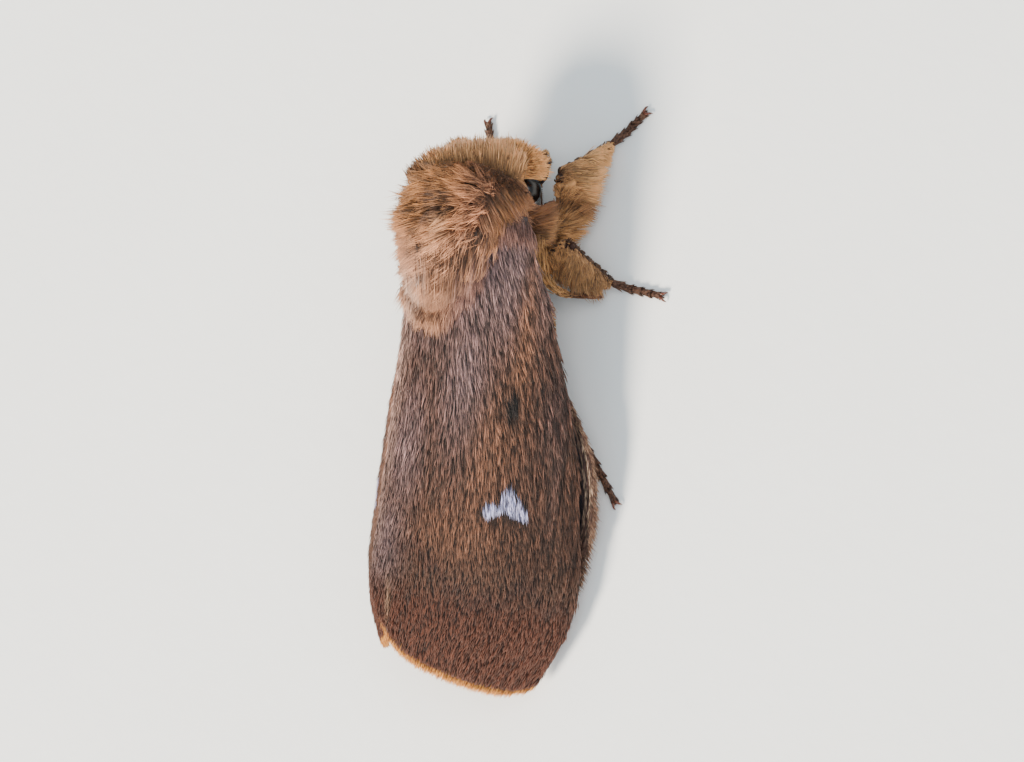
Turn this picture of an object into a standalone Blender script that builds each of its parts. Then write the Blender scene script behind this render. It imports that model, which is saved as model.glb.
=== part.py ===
"""A processionary moth at rest, life size: head towards -Y, left side towards +X, feet on Z = 0.

Sizes are in millimetres until mesh_object() turns them into metres. The solids give the outline of the coat,
so the thorax, the head and the legs are as thick as their fur.
"""

import math

import bmesh
import bpy
import numpy as np
from mathutils import Vector

MM = 0.001
GAP = 0.3  # between neighbours
LEFT, RIGHT = 1, -1
SIDE_NAMES = {LEFT: "left", RIGHT: "right"}

# Thorax with its coat: y, centre z, half width left, half width right, height above and below the centre.
THORAX_SIDES = 28
THORAX = (
    (-6.2, 6.1, 1.5, 1.3, 1.15, 1.1),
    (-5.6, 6.0, 2.5, 2.1, 2.0, 1.8),
    (-4.8, 5.8, 3.4, 2.7, 2.75, 2.5),
    (-3.8, 5.5, 4.1, 3.0, 3.3, 3.6),
    (-2.6, 5.3, 4.5, 3.2, 3.6, 4.2),
    (-1.3, 5.2, 4.45, 3.2, 3.6, 4.2),
    (0.0, 5.2, 3.6, 3.0, 3.4, 3.9),
    (1.2, 5.4, 2.5, 2.3, 2.9, 2.9),
    (1.9, 5.7, 1.6, 1.4, 2.0, 1.6),
)
THORAX_FRONT = (-6.5, 6.1)  # y, z of the tip
THORAX_REAR = (2.3, 6.0)

# Head, eyes, palps and feelers.
HEAD_CENTRE = Vector((0.0, -5.4, 3.35))
HEAD_RADII = Vector((2.05, 2.1, 2.0))
EYE_CENTRE = Vector((1.6, -4.75, 3.7))  # out, y, z
EYE_RADIUS = 0.8
PALP_PATH = ((0.6, -6.0, 0.95), (0.65, -6.6, 1.1), (0.6, -7.1, 1.45))
PALP_RADII = (0.34, 0.32, 0.24)
FEELER_PATH = (
    (1.35, -6.3, 4.25),
    (2.1, -6.45, 4.0),
    (2.6, -6.1, 3.45),
    (2.45, -5.6, 2.85),
    (1.95, -5.15, 2.45),
    (1.65, -4.6, 1.8),
    (1.3, -4.0, 1.4),
    (1.05, -3.3, 1.15),
)
FEELER_WIDTHS = (0.28, 0.45, 0.5, 0.5, 0.5, 0.46, 0.38, 0.28)  # half widths of the comb
FEELER_THICKNESS = 0.26  # half

# Abdomen: y, centre z, half width, half height.
ABDOMEN_SIDES = 20
ABDOMEN = (
    (1.2, 3.2, 1.5, 1.4),
    (2.2, 3.1, 2.2, 2.1),
    (4.5, 3.0, 2.45, 2.35),
    (8.0, 2.95, 2.45, 2.35),
    (11.0, 2.9, 2.3, 2.2),
    (13.5, 2.85, 1.95, 1.8),
    (15.2, 2.8, 1.4, 1.2),
)
ABDOMEN_ENDS = ((0.8, 3.2), (16.0, 2.8))

# The roof that the folded wings lie on: y, then half width and edge height on the right, the same on the left,
# and the height of the ridge. Across, it is a parabola from the ridge down to each edge.
ROOF = (
    (-4.0, 3.3, 5.7, 3.6, 5.7, 8.6),
    (-2.0, 3.9, 5.3, 4.2, 5.3, 8.4),
    (1.0, 4.75, 4.1, 5.0, 4.3, 7.9),
    (4.0, 5.39, 3.1, 5.9, 3.0, 7.45),
    (7.0, 6.14, 2.35, 6.5, 2.3, 7.25),
    (9.5, 6.45, 1.8, 6.8, 1.8, 7.15),
    (12.0, 6.7, 1.4, 6.95, 1.6, 7.1),
    (14.5, 7.05, 1.15, 6.95, 1.5, 7.0),
    (16.9, 6.5, 0.95, 6.35, 1.5, 6.8),
    (18.7, 5.6, 0.85, 5.3, 1.5, 6.45),
    (20.6, 4.5, 0.8, 4.3, 1.4, 6.0),
)
WING_THICKNESS = 0.5
LAYER = WING_THICKNESS + GAP  # one wing lies this far below the next
FOREWING_ROWS, FOREWING_COLUMNS = 16, 11
FOREWING_START = -3.4  # y of the shoulder, under the fur
INNER_MARGIN = 2.35  # how far each forewing reaches over the ridge
TERMEN_APEX, TERMEN_SLANT = 20.95, 2.4  # y of the outer margin at the apex, and its slant to the inner corner
APEX_ROUND, TORNUS_ROUND = 0.9, 2.35
LEFT_FOREWING_SHORTER = 1.2
HINDWING_ROWS, HINDWING_COLUMNS = 14, 5
HINDWING_START, HINDWING_END = {RIGHT: 1.5, LEFT: 4.8}, 14.6
HINDWING_INNER = {RIGHT: 3.3, LEFT: 4.0}
HINDWING_TRIM = {RIGHT: 0.1, LEFT: 0.9}  # how far its fold stays inside the forewing's front edge
HINDWING_SHOWS = {RIGHT: 1.15, LEFT: 0.0}  # how far its edge passes the forewing's, at most
HINDWING_WIDEST = 9.3  # y of that place
HINDWING_BEND = 0.6  # where, across it, the shown edge flares out flat
HINDWING_FLARE = 1.35
HINDWING_EDGE_RISE = 0.2
HINDWING_TUCK = 0.4  # how much of that its edge draws in at the base
HINDWING_RIM = 0.12  # the least that its rim turns out

# Legs. Each station is (out, y, z) and then half the fur's width, half its thickness and how far the fur's
# middle lies behind the bone.
LEG_SIDES = 10
FORE_FAN, MID_FAN, HIND_FAN = (0.85, 0.5, -0.15), (-0.35, 0.93, 0.0), (0.3, 0.95, 0.0)
FORE_FEMUR = (
    (1.9, -2.5, 1.45, 0.8, 0.8, 0.2),
    (2.55, -3.5, 1.65, 1.3, 0.85, 0.6),
    (2.9, -4.6, 2.15, 1.35, 0.75, 0.9),
    (3.0, -5.45, 2.85, 0.75, 0.45, 0.4),
)
FORE_TIBIA = (
    (2.95, -5.75, 3.0, 0.35, 0.35, 0.1),
    (3.2, -6.2, 2.35, 0.95, 0.5, 0.55),
    (3.6, -6.8, 1.5, 0.9, 0.45, 0.55),
    (3.9, -7.35, 0.85, 0.6, 0.36, 0.28),
    (4.05, -7.6, 0.6, 0.32, 0.3, 0.0),
)
FORE_TARSUS = ((4.15, -7.75, 0.5), (4.6, -8.35, 0.19), (5.5, -9.35, 0.18))
LEFT_FORE_FEMUR = (
    (1.9, -1.9, 1.45, 0.8, 0.8, 0.2),
    (2.7, -2.6, 1.75, 1.1, 0.85, 0.3),
    (3.35, -3.3, 2.35, 0.9, 0.65, 0.3),
    (3.6, -3.7, 2.8, 0.45, 0.42, 0.1),
)
LEFT_FORE_TIBIA = (
    (3.6, -4.0, 2.65, 0.35, 0.35, 0.0),
    (3.6, -4.45, 2.1, 0.7, 0.45, 0.2),
    (3.5, -5.05, 1.4, 0.7, 0.4, 0.2),
    (3.4, -5.6, 0.85, 0.5, 0.34, 0.1),
    (3.35, -5.85, 0.6, 0.32, 0.3, 0.0),
)
LEFT_FORE_TARSUS = ((3.35, -6.05, 0.5), (3.4, -6.7, 0.19), (3.72, -7.75, 0.18))
MID_FEMUR = (
    (1.9, -1.5, 1.5, 0.8, 0.8, 0.1),
    (2.8, -1.9, 1.9, 0.95, 0.8, 0.3),
    (3.6, -2.25, 2.35, 0.8, 0.65, 0.3),
    (4.0, -2.4, 2.6, 0.45, 0.42, 0.1),
)
MID_TIBIA = (
    (4.15, -2.3, 2.5, 0.4, 0.38, 0.2),
    (4.4, -1.9, 2.1, 1.1, 0.5, 0.85),
    (4.8, -1.5, 1.5, 1.2, 0.45, 1.0),
    (5.15, -1.1, 0.95, 0.95, 0.4, 0.7),
    (5.3, -0.9, 0.65, 0.4, 0.32, 0.1),
)
MID_TARSUS = ((5.55, -0.85, 0.5), (6.2, -0.72, 0.19), (8.1, -0.6, 0.18))
LEFT_MID_TARSUS = ((5.5, -0.8, 0.5), (6.0, -0.6, 0.19), (7.5, -0.05, 0.18))
HIND_FEMUR = (
    (2.5, 1.0, 1.25, 0.7, 0.62, 0.0),
    (2.9, 2.0, 1.35, 0.75, 0.62, 0.0),
    (3.5, 3.2, 1.5, 0.7, 0.5, 0.0),
    (3.85, 3.9, 1.6, 0.42, 0.38, 0.0),
)
HIND_TIBIA = (
    (3.95, 4.25, 1.45, 0.38, 0.34, 0.0),
    (4.3, 5.1, 1.2, 0.75, 0.4, 0.2),
    (4.75, 6.1, 0.88, 0.7, 0.38, 0.2),
    (5.1, 7.0, 0.6, 0.4, 0.3, 0.1),
)
HIND_TARSUS = ((5.3, 7.35, 0.5), (5.75, 7.95, 0.19), (7.35, 9.75, 0.18))
LEFT_HIND_TARSUS = ((5.2, 7.4, 0.5), (5.4, 7.95, 0.19), (6.3, 9.7, 0.18))
TARSUS_RADIUS = 0.28
TARSUS_WAIST = 0.84  # where one of its five joints meets the next
TARSOMERES = 5
CLAW_LENGTH, CLAW_RADIUS, CLAW_SPREAD = 0.42, 0.13, 32.0

COLOURS = {
    "coat": ((0.28, 0.13, 0.06), 0.85),
    "wing": ((0.19, 0.10, 0.07), 0.8),
    "hindwing": ((0.24, 0.16, 0.12), 0.8),
    "eye": ((0.006, 0.004, 0.004), 0.12),
    "leg": ((0.22, 0.11, 0.05), 0.85),
    "shell": ((0.05, 0.025, 0.018), 0.4),
    "abdomen": ((0.30, 0.13, 0.04), 0.85),
}


def material_for(name, kind):
    colour, roughness = COLOURS[kind]
    material = bpy.data.materials.new(name)
    material.use_nodes = True
    surface = material.node_tree.nodes["Principled BSDF"]
    surface.inputs["Base Color"].default_value = (*colour, 1.0)
    surface.inputs["Roughness"].default_value = roughness
    surface.inputs["Metallic"].default_value = 0.0
    material.diffuse_color = (*colour, 1.0)
    return material


def mesh_object(name, points, faces, kind=None):
    """A closed mesh from points in millimetres. Without a kind it is a cutter, which isn't part of the moth."""
    mesh = bpy.data.meshes.new(name)
    mesh.from_pydata([Vector(p) * MM for p in points], [], faces)
    shape = bmesh.new()
    shape.from_mesh(mesh)
    bmesh.ops.recalc_face_normals(shape, faces=shape.faces)
    shape.to_mesh(mesh)
    shape.free()
    mesh.shade_smooth()
    thing = bpy.data.objects.new(name, mesh)
    bpy.context.scene.collection.objects.link(thing)
    if kind:
        mesh.materials.append(material_for(name, kind))
    else:
        thing.hide_render = True
        thing.display_type = "WIRE"
    return thing


def combine(target, tool, operation):
    step = target.modifiers.new(tool.name, "BOOLEAN")
    step.operation = operation
    step.solver = "EXACT"
    step.object = tool


def cut(target, *cutters):
    for cutter in cutters:
        combine(target, cutter, "DIFFERENCE")


def loft(rings, first_tip, last_tip):
    """Points and faces of a closed body: a tip, rings of equally many points, and another tip."""
    sides = len(rings[0])
    points = [first_tip, *(p for ring in rings for p in ring), last_tip]
    faces = [(0, 1 + k, 1 + (k + 1) % sides) for k in range(sides)]
    for r in range(len(rings) - 1):
        here, there = 1 + r * sides, 1 + (r + 1) * sides
        for k in range(sides):
            after = (k + 1) % sides
            faces.append((here + k, there + k, there + after, here + after))
    last = len(points) - 1
    base = last - sides
    faces += [(base + k, last, base + (k + 1) % sides) for k in range(sides)]
    return points, faces


def turns(sides):
    return [2 * math.pi * k / sides for k in range(sides)]


# Body

def thorax(name, kind=None, grow=0.0):
    rings = []
    for y, z, wide_left, wide_right, above, below in THORAX:
        ring = []
        for turn in turns(THORAX_SIDES):
            wide = wide_left if math.cos(turn) > 0 else wide_right
            tall = above if math.sin(turn) > 0 else below
            ring.append((math.cos(turn) * (wide + grow), y, z + math.sin(turn) * (tall + grow)))
        rings.append(ring)
    front = (0.0, THORAX_FRONT[0] - grow, THORAX_FRONT[1])
    rear = (0.0, THORAX_REAR[0] + grow, THORAX_REAR[1])
    return mesh_object(name, *loft(rings, front, rear), kind)


def abdomen(name, kind):
    rings = [
        [(math.cos(t) * wide, y, z + math.sin(t) * tall) for t in turns(ABDOMEN_SIDES)]
        for y, z, wide, tall in ABDOMEN
    ]
    front, rear = ((0.0, y, z) for y, z in ABDOMEN_ENDS)
    return mesh_object(name, *loft(rings, front, rear), kind)


def ellipsoid(name, centre, radii, kind=None, sides=20, bands=11):
    rings = []
    for band in range(1, bands):
        tilt = math.pi * band / bands
        rings.append([
            (
                centre[0] + radii[0] * math.sin(tilt) * math.cos(t),
                centre[1] - radii[1] * math.cos(tilt),
                centre[2] + radii[2] * math.sin(tilt) * math.sin(t),
            )
            for t in turns(sides)
        ])
    front = (centre[0], centre[1] - radii[1], centre[2])
    rear = (centre[0], centre[1] + radii[1], centre[2])
    return mesh_object(name, *loft(rings, front, rear), kind)


def mirrored(point, side):
    return Vector((point[0] * side, point[1], point[2]))


def eye(name, side, kind=None, grow=0.0):
    radius = EYE_RADIUS + grow
    return ellipsoid(name, mirrored(EYE_CENTRE, side), (radius,) * 3, kind, sides=14, bands=8)


def tube(path, half_widths, half_depths, fan, sides=LEG_SIDES, offsets=None, floor=None):
    """Elliptical rings along a path, wide along the fan direction, with each ring's middle moved along it."""
    path = [Vector(p) for p in path]
    offsets = offsets or [0.0] * len(path)
    rings = []
    for i, centre in enumerate(path):
        along = (path[min(i + 1, len(path) - 1)] - path[max(i - 1, 0)]).normalized()
        across = (Vector(fan) - along * along.dot(Vector(fan))).normalized()
        depth = along.cross(across)
        middle = centre + across * offsets[i]
        ring = [
            middle + across * (math.cos(t) * half_widths[i]) + depth * (math.sin(t) * half_depths[i])
            for t in turns(sides)
        ]
        if floor is not None:
            ring = [Vector((p.x, p.y, max(p.z, floor))) for p in ring]
        rings.append(ring)
    ends = []
    for i, j in ((0, 1), (-1, -2)):
        along = (path[i] - path[j]).normalized()
        middle = sum(rings[i], Vector()) / sides
        tip = middle + along * 0.5 * min(half_widths[i], half_depths[i])
        ends.append(tip if floor is None else Vector((tip.x, tip.y, max(tip.z, floor))))
    return loft(rings, *ends)


def feeler(name, side, kind=None, grow=0.0):
    path = [mirrored(p, side) for p in FEELER_PATH]
    widths = [w + grow for w in FEELER_WIDTHS]
    depths = [FEELER_THICKNESS + grow] * len(path)
    return mesh_object(name, *tube(path, widths, depths, (0.0, 1.0, 0.6), sides=8), kind)


def palp(name, side, kind):
    path = [mirrored(p, side) for p in PALP_PATH]
    return mesh_object(name, *tube(path, PALP_RADII, PALP_RADII, (1, 0, 0), sides=8), kind)


# Wings

def roof_at(column, y):
    """A column of the roof table at y, by straight lines rounded over half a row."""
    ys = [row[0] for row in ROOF]
    values = [row[column] for row in ROOF]
    return float(np.mean(np.interp((y - 0.7, y - 0.35, y, y + 0.35, y + 0.7), ys, values)))


def roof_height(x, y):
    half = roof_at(1 if x < 0 else 3, y)
    edge = roof_at(2 if x < 0 else 4, y)
    ridge = roof_at(5, y)
    return edge + (ridge - edge) * (1 - (x / half) ** 2)


def roof_point(x, y, below=0.0):
    """The point that lies this far below the roof, square to it."""
    step = 0.05
    slope_x = (roof_height(x + step, y) - roof_height(x - step, y)) / (2 * step)
    slope_y = (roof_height(x, y + step) - roof_height(x, y - step)) / (2 * step)
    up = Vector((-slope_x, -slope_y, 1.0)).normalized()
    return Vector((x, y, roof_height(x, y))) - up * below


def termen(across):
    """y of the forewing's outer margin: 0 at the front edge, 1 at the inner margin."""
    slant = TERMEN_APEX - TERMEN_SLANT * across
    return slant - APEX_ROUND * (1 - across) ** 16 - TORNUS_ROUND * across**6


def sheet(name, rows, columns, top, bottom, kind):
    """A closed shell between two grids of points."""
    grid = [(r, c) for r in range(rows + 1) for c in range(columns + 1)]
    upper = [top(r / rows, c / columns) for r, c in grid]
    lower = [bottom(r / rows, c / columns) for r, c in grid]
    across = columns + 1
    under = len(upper)
    faces = []
    for r in range(rows):
        for c in range(columns):
            a = r * across + c
            quad = (a, a + 1, a + across + 1, a + across)
            faces.append(quad)
            faces.append(tuple(under + k for k in reversed(quad)))
    rim = [c for c in range(across)]
    rim += [r * across + columns for r in range(1, rows + 1)]
    rim += [rows * across + c for c in range(columns - 1, -1, -1)]
    rim += [r * across for r in range(rows - 1, 0, -1)]
    for a, b in zip(rim, rim[1:] + rim[:1]):
        faces.append((a, b, under + b, under + a))
    return mesh_object(name, upper + lower, faces, kind)


def forewing(name, side, layer, shorter, kind):
    edge_column = 1 if side == RIGHT else 3

    def point(along, across, below):
        y = FOREWING_START + along * (termen(across) - shorter - FOREWING_START)
        reach = roof_at(edge_column, y + shorter)
        x = (1 - across) * reach - across * INNER_MARGIN
        return roof_point(side * x, y, below)

    return sheet(
        name, FOREWING_ROWS, FOREWING_COLUMNS,
        lambda s, t: point(s, t, layer),
        lambda s, t: point(s, t, layer + WING_THICKNESS),
        kind,
    )


def hindwing(name, side, layer, kind):
    edge_column = 1 if side == RIGHT else 3
    inner, start = HINDWING_INNER[side], HINDWING_START[side]
    bend = HINDWING_BEND if HINDWING_SHOWS[side] else 1.0

    def point(along, across, thickness):
        y = start + along * (HINDWING_END - start)
        spread = 1 - ((y - HINDWING_WIDEST) / (HINDWING_END - HINDWING_WIDEST)) ** 2
        shows = HINDWING_SHOWS[side] * max(spread, -HINDWING_TUCK)
        reach = roof_at(edge_column, y) - HINDWING_TRIM[side] + min(shows, 0.0)
        shows = max(shows, HINDWING_RIM)
        out = max(0.0, across - bend) / (1.001 - bend)
        x = side * (inner + (reach - inner) * min(across / bend, 1.0))
        upper = roof_point(x, y, layer)
        up = (roof_point(x, y) - upper).normalized().lerp(Vector((0, 0, 1)), out).normalized()
        upper += Vector((side * shows * HINDWING_FLARE * out, 0.0, HINDWING_EDGE_RISE * out * out))
        return upper - up * thickness

    return sheet(
        name, HINDWING_ROWS, HINDWING_COLUMNS,
        lambda s, t: point(s, t, 0.0),
        lambda s, t: point(s, t, WING_THICKNESS),
        kind,
    )


# Legs

def furry(name, side, stations, fan, kind=None, grow=0.0):
    path = [mirrored(s[:3], side) for s in stations]
    widths = [s[3] + grow for s in stations]
    depths = [s[4] + grow for s in stations]
    offsets = [s[5] for s in stations]
    fan = mirrored(fan, side)
    return mesh_object(name, *tube(path, widths, depths, fan, offsets=offsets), kind)


def tarsus(name, side, path, kind):
    """Five joints, each waisted where it meets the next, lying flat on the floor."""
    start, bend, end = (mirrored(p, side) for p in path)
    first, second = (bend - start).length, (end - bend).length
    centres, radii = [], []
    for k in range(2 * TARSOMERES + 1):
        travel = (first + second) * k / (2 * TARSOMERES)
        if travel < first:
            centres.append(start.lerp(bend, travel / first))
        else:
            centres.append(bend.lerp(end, (travel - first) / second))
        radii.append(TARSUS_RADIUS * (TARSUS_WAIST if k % 2 == 0 else 1.0))
    body = mesh_object(name, *tube(centres, radii, radii, (0, 0, 1), sides=8, floor=0.0), kind)
    for turn in (-1, 1):
        combine(body, claw(f"{name}_claw_cutter_{turn + 1}", end, end - bend, turn), "UNION")
    return body


def claw(name, root, heading, turn):
    """A hook that leaves the foot's end to one side and bends down to the floor."""
    angle = math.radians(CLAW_SPREAD * turn)
    ahead = Vector((heading.x, heading.y, 0.0)).normalized()
    out = Vector((
        ahead.x * math.cos(angle) - ahead.y * math.sin(angle),
        ahead.x * math.sin(angle) + ahead.y * math.cos(angle),
        0.0,
    ))
    path = [
        root + out * 0.05,
        root + out * (0.6 * CLAW_LENGTH) + Vector((0, 0, 0.06)),
        root + out * CLAW_LENGTH + Vector((0, 0, -0.06)),
        root + out * (1.2 * CLAW_LENGTH) + Vector((0, 0, -0.17)),
    ]
    radii = [CLAW_RADIUS, 0.85 * CLAW_RADIUS, 0.6 * CLAW_RADIUS, 0.35 * CLAW_RADIUS]
    return mesh_object(name, *tube(path, radii, radii, (0, 0, 1), sides=6, floor=0.0))


LEGS = {
    ("fore", RIGHT): (FORE_FEMUR, FORE_TIBIA, FORE_TARSUS, FORE_FAN),
    ("fore", LEFT): (LEFT_FORE_FEMUR, LEFT_FORE_TIBIA, LEFT_FORE_TARSUS, FORE_FAN),
    ("mid", RIGHT): (MID_FEMUR, MID_TIBIA, MID_TARSUS, MID_FAN),
    ("mid", LEFT): (MID_FEMUR, MID_TIBIA, LEFT_MID_TARSUS, MID_FAN),
    ("hind", RIGHT): (HIND_FEMUR, HIND_TIBIA, HIND_TARSUS, HIND_FAN),
    ("hind", LEFT): (HIND_FEMUR, HIND_TIBIA, LEFT_HIND_TARSUS, HIND_FAN),
}


def build_legs(body_cutters):
    for side in (LEFT, RIGHT):
        earlier = []
        for pair in ("fore", "mid", "hind"):
            thigh, shin, foot, fan = LEGS[pair, side]
            label = f"{pair}_{SIDE_NAMES[side]}"
            femur = furry(f"femur_{label}", side, thigh, fan, "leg")
            cut(femur, *body_cutters, *earlier)
            femur_room = furry(f"femur_room_{label}", side, thigh, fan, grow=GAP)
            tibia = furry(f"tibia_{label}", side, shin, fan, "leg")
            cut(tibia, *body_cutters, femur_room, *earlier)
            tibia_room = furry(f"tibia_room_{label}", side, shin, fan, grow=GAP)
            cut(tarsus(f"tarsus_{label}", side, foot, "shell"), tibia_room)
            earlier += [femur_room, tibia_room]


def centre_on_origin():
    """Moves everything sideways so that the middle of the moth's box stands on the origin."""
    bpy.context.view_layer.update()
    graph = bpy.context.evaluated_depsgraph_get()
    corners = []
    for thing in bpy.context.scene.objects:
        if not thing.hide_render:
            seen = thing.evaluated_get(graph)
            corners += [seen.matrix_world @ Vector(c) for c in seen.bound_box]
    middle = [(min(c[k] for c in corners) + max(c[k] for c in corners)) / 2 for k in range(2)]
    for thing in bpy.context.scene.objects:
        thing.location = (-middle[0], -middle[1], 0.0)


def main():
    for thing in list(bpy.data.objects):
        bpy.data.objects.remove(thing, do_unlink=True)

    trunk = thorax("thorax", "coat")
    thorax_room = thorax("thorax_room", grow=GAP)
    cut(abdomen("abdomen", "abdomen"), thorax_room)

    head = ellipsoid("head", HEAD_CENTRE, HEAD_RADII, "coat")
    head_room = ellipsoid("head_room", HEAD_CENTRE, HEAD_RADII + Vector((GAP,) * 3))
    cut(head, thorax_room)
    feeler_rooms = []
    for side, word in SIDE_NAMES.items():
        eye(f"eye_{word}", side, "eye")
        feeler(f"antenna_{word}", side, "shell")
        feeler_rooms.append(feeler(f"antenna_room_{word}", side, grow=GAP))
        eye_room = eye(f"eye_room_{word}", side, grow=GAP)
        cut(head, eye_room, feeler_rooms[-1])
        cut(trunk, eye_room)
        cut(palp(f"palp_{word}", side, "coat"), head_room)

    cut(forewing("forewing_right", RIGHT, 0.0, 0.0, "wing"), thorax_room)
    cut(forewing("forewing_left", LEFT, LAYER, LEFT_FOREWING_SHORTER, "wing"), thorax_room)
    cut(hindwing("hindwing_right", RIGHT, LAYER + 0.8 * GAP, "hindwing"), thorax_room)
    cut(hindwing("hindwing_left", LEFT, 2 * LAYER, "hindwing"), thorax_room)

    build_legs([thorax_room, head_room, *feeler_rooms])
    centre_on_origin()


main()
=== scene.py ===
"""A processionary moth at rest, dressed over its CAD solids: one skin under fur, wings under scales."""

import math

import bpy
import numpy as np
from mathutils import Matrix, Vector, kdtree


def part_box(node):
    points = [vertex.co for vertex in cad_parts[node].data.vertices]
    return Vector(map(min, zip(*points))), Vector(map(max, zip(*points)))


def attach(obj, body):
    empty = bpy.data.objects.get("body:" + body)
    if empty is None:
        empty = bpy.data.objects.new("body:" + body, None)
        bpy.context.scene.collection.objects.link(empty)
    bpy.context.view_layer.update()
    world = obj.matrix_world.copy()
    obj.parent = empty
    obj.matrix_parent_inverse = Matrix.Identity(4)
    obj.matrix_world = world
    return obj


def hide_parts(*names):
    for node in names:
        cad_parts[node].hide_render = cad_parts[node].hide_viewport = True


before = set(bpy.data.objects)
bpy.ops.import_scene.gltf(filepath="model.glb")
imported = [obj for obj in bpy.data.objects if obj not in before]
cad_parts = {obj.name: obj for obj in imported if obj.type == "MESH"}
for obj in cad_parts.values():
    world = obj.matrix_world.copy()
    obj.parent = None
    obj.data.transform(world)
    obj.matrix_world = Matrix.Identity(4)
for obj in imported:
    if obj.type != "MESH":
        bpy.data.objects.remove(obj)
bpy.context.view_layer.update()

MM = 0.001
LEFT, RIGHT = 1, -1
SIDES = {LEFT: "left", RIGHT: "right"}
UP = np.array((0.0, 0.0, 1.0))
SIDE_SHARE = {LEFT: 0.65, RIGHT: 1.0}  # of the hairs: fewer on the side turned from the camera

# The design frame is in millimetres: head towards -Y, left side towards +X, feet on z = 0.
EYE_CENTRE = np.array((1.6, -4.75, 3.7))
EYE_RADIUS = 0.8


def design_origin():
    """Where the design frame's zero stands, from the place of the right eye."""
    low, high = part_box("eye_right")
    middle = (np.array(low) + np.array(high)) / 2
    return middle - EYE_CENTRE * (RIGHT, 1, 1) * MM


ORIGIN = design_origin() * (1, 1, 0)

# Sizes of the dressed moth

# y, centre z, half width left, right, height above and below: the coat's outline round the thorax.
THORAX = np.array((
    (-6.2, 6.1, 1.5, 1.3, 1.15, 1.1),
    (-5.6, 6.0, 2.5, 2.1, 2.0, 1.8),
    (-4.8, 5.8, 3.4, 2.7, 2.75, 2.5),
    (-3.8, 5.5, 4.1, 3.0, 3.3, 3.6),
    (-2.6, 5.3, 4.5, 3.2, 3.6, 4.2),
    (-1.3, 5.2, 4.45, 3.2, 3.6, 4.2),
    (0.0, 5.2, 3.6, 3.0, 3.4, 3.9),
    (1.2, 5.4, 2.5, 2.3, 2.9, 2.9),
    (1.9, 5.7, 1.6, 1.4, 2.0, 1.6),
))
THORAX_COAT = 1.25
COAT_TOP = 9.1  # hairs whose tips would stand higher are dropped or laid lower
HEAD_CENTRE = np.array((0.0, -5.4, 3.35))
HEAD_RADII = np.array((2.05, 2.1, 2.0))
SKULL_CENTRE = np.array((0.0, -5.2, 3.45))
SKULL_RADII = np.array((1.75, 1.35, 1.45))
ABDOMEN = np.array((
    (1.2, 3.2, 1.5, 1.5, 1.4, 1.4),
    (2.2, 3.1, 2.2, 2.2, 2.1, 2.1),
    (4.5, 3.0, 2.45, 2.45, 2.35, 2.35),
    (8.0, 2.95, 2.45, 2.45, 2.35, 2.35),
    (11.0, 2.9, 2.3, 2.3, 2.2, 2.2),
    (13.5, 2.85, 1.95, 1.95, 1.8, 1.8),
    (15.2, 2.8, 1.4, 1.4, 1.2, 1.2),
))
ABDOMEN_COAT = 0.45
PALP_PATH = ((0.6, -5.5, 1.9), (0.62, -6.05, 1.1), (0.63, -6.4, 1.15), (0.6, -6.65, 1.35))
FEELER_PATH = np.array((
    (1.35, -6.2, 4.1), (2.05, -6.35, 3.9), (2.6, -6.1, 3.6), (2.25, -5.55, 3.0),
    (1.62, -5.1, 2.5), (1.35, -4.5, 1.9), (1.15, -3.9, 1.4), (1.0, -3.3, 1.15),
))
FEELER_WIDTHS = (0.28, 0.45, 0.5, 0.5, 0.5, 0.46, 0.38, 0.28)
FEELER_FAN = (0.0, 1.0, 0.6)

# The roof that the wings lie on: y, half width and edge height on the right, the same on the left, and the
# height of the ridge.
ROOF = np.array((
    (-4.0, 3.3, 5.7, 3.6, 5.7, 8.6),
    (-2.0, 3.9, 5.3, 4.2, 5.3, 8.4),
    (1.0, 4.75, 4.1, 5.0, 4.3, 7.9),
    (4.0, 5.39, 3.1, 5.9, 3.0, 7.45),
    (7.0, 6.14, 2.35, 6.5, 2.3, 7.25),
    (9.5, 6.45, 1.8, 6.8, 1.8, 7.15),
    (12.0, 6.7, 1.4, 6.95, 1.6, 7.1),
    (14.5, 7.05, 1.15, 6.95, 1.5, 7.0),
    (16.9, 6.5, 0.95, 6.35, 1.5, 6.8),
    (18.7, 5.6, 0.85, 5.3, 1.5, 6.45),
    (20.6, 4.5, 0.8, 4.3, 1.4, 6.0),
))
LAYER = 0.8
FOREWING_START = -3.4
INNER_MARGIN = 2.35
SHORTER = {RIGHT: 0.0, LEFT: 1.2}
FOREWING_LAYER = {RIGHT: 0.0, LEFT: LAYER}
HINDWING_LAYER = {RIGHT: 1.04, LEFT: 2 * LAYER}
HINDWING_START = {RIGHT: 1.5, LEFT: 4.8}
HINDWING_END = 14.6
HINDWING_INNER = {RIGHT: 3.3, LEFT: 4.0}
HINDWING_TRIM = {RIGHT: 0.1, LEFT: 0.9}
HINDWING_SHOWS = {RIGHT: 1.15, LEFT: 0.0}
HINDWING_WIDEST = 9.3
HINDWING_BEND = {RIGHT: 0.6, LEFT: 1.0}
HINDWING_TUCK = 0.4
HINDWING_RIM = 0.12
SCALE_DEPTH = 0.14  # of the scales over a wing's membrane
MEMBRANE = 0.14  # its thickness
FRINGE = 0.62  # kept free for the fringe past a forewing's membrane
# The place of each vein across a forewing, and its strength
VEINS = ((0.08, 1.0), (0.2, 0.6), (0.33, 0.9), (0.47, 0.7), (0.6, 0.9), (0.74, 0.7), (0.88, 0.8))

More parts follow.
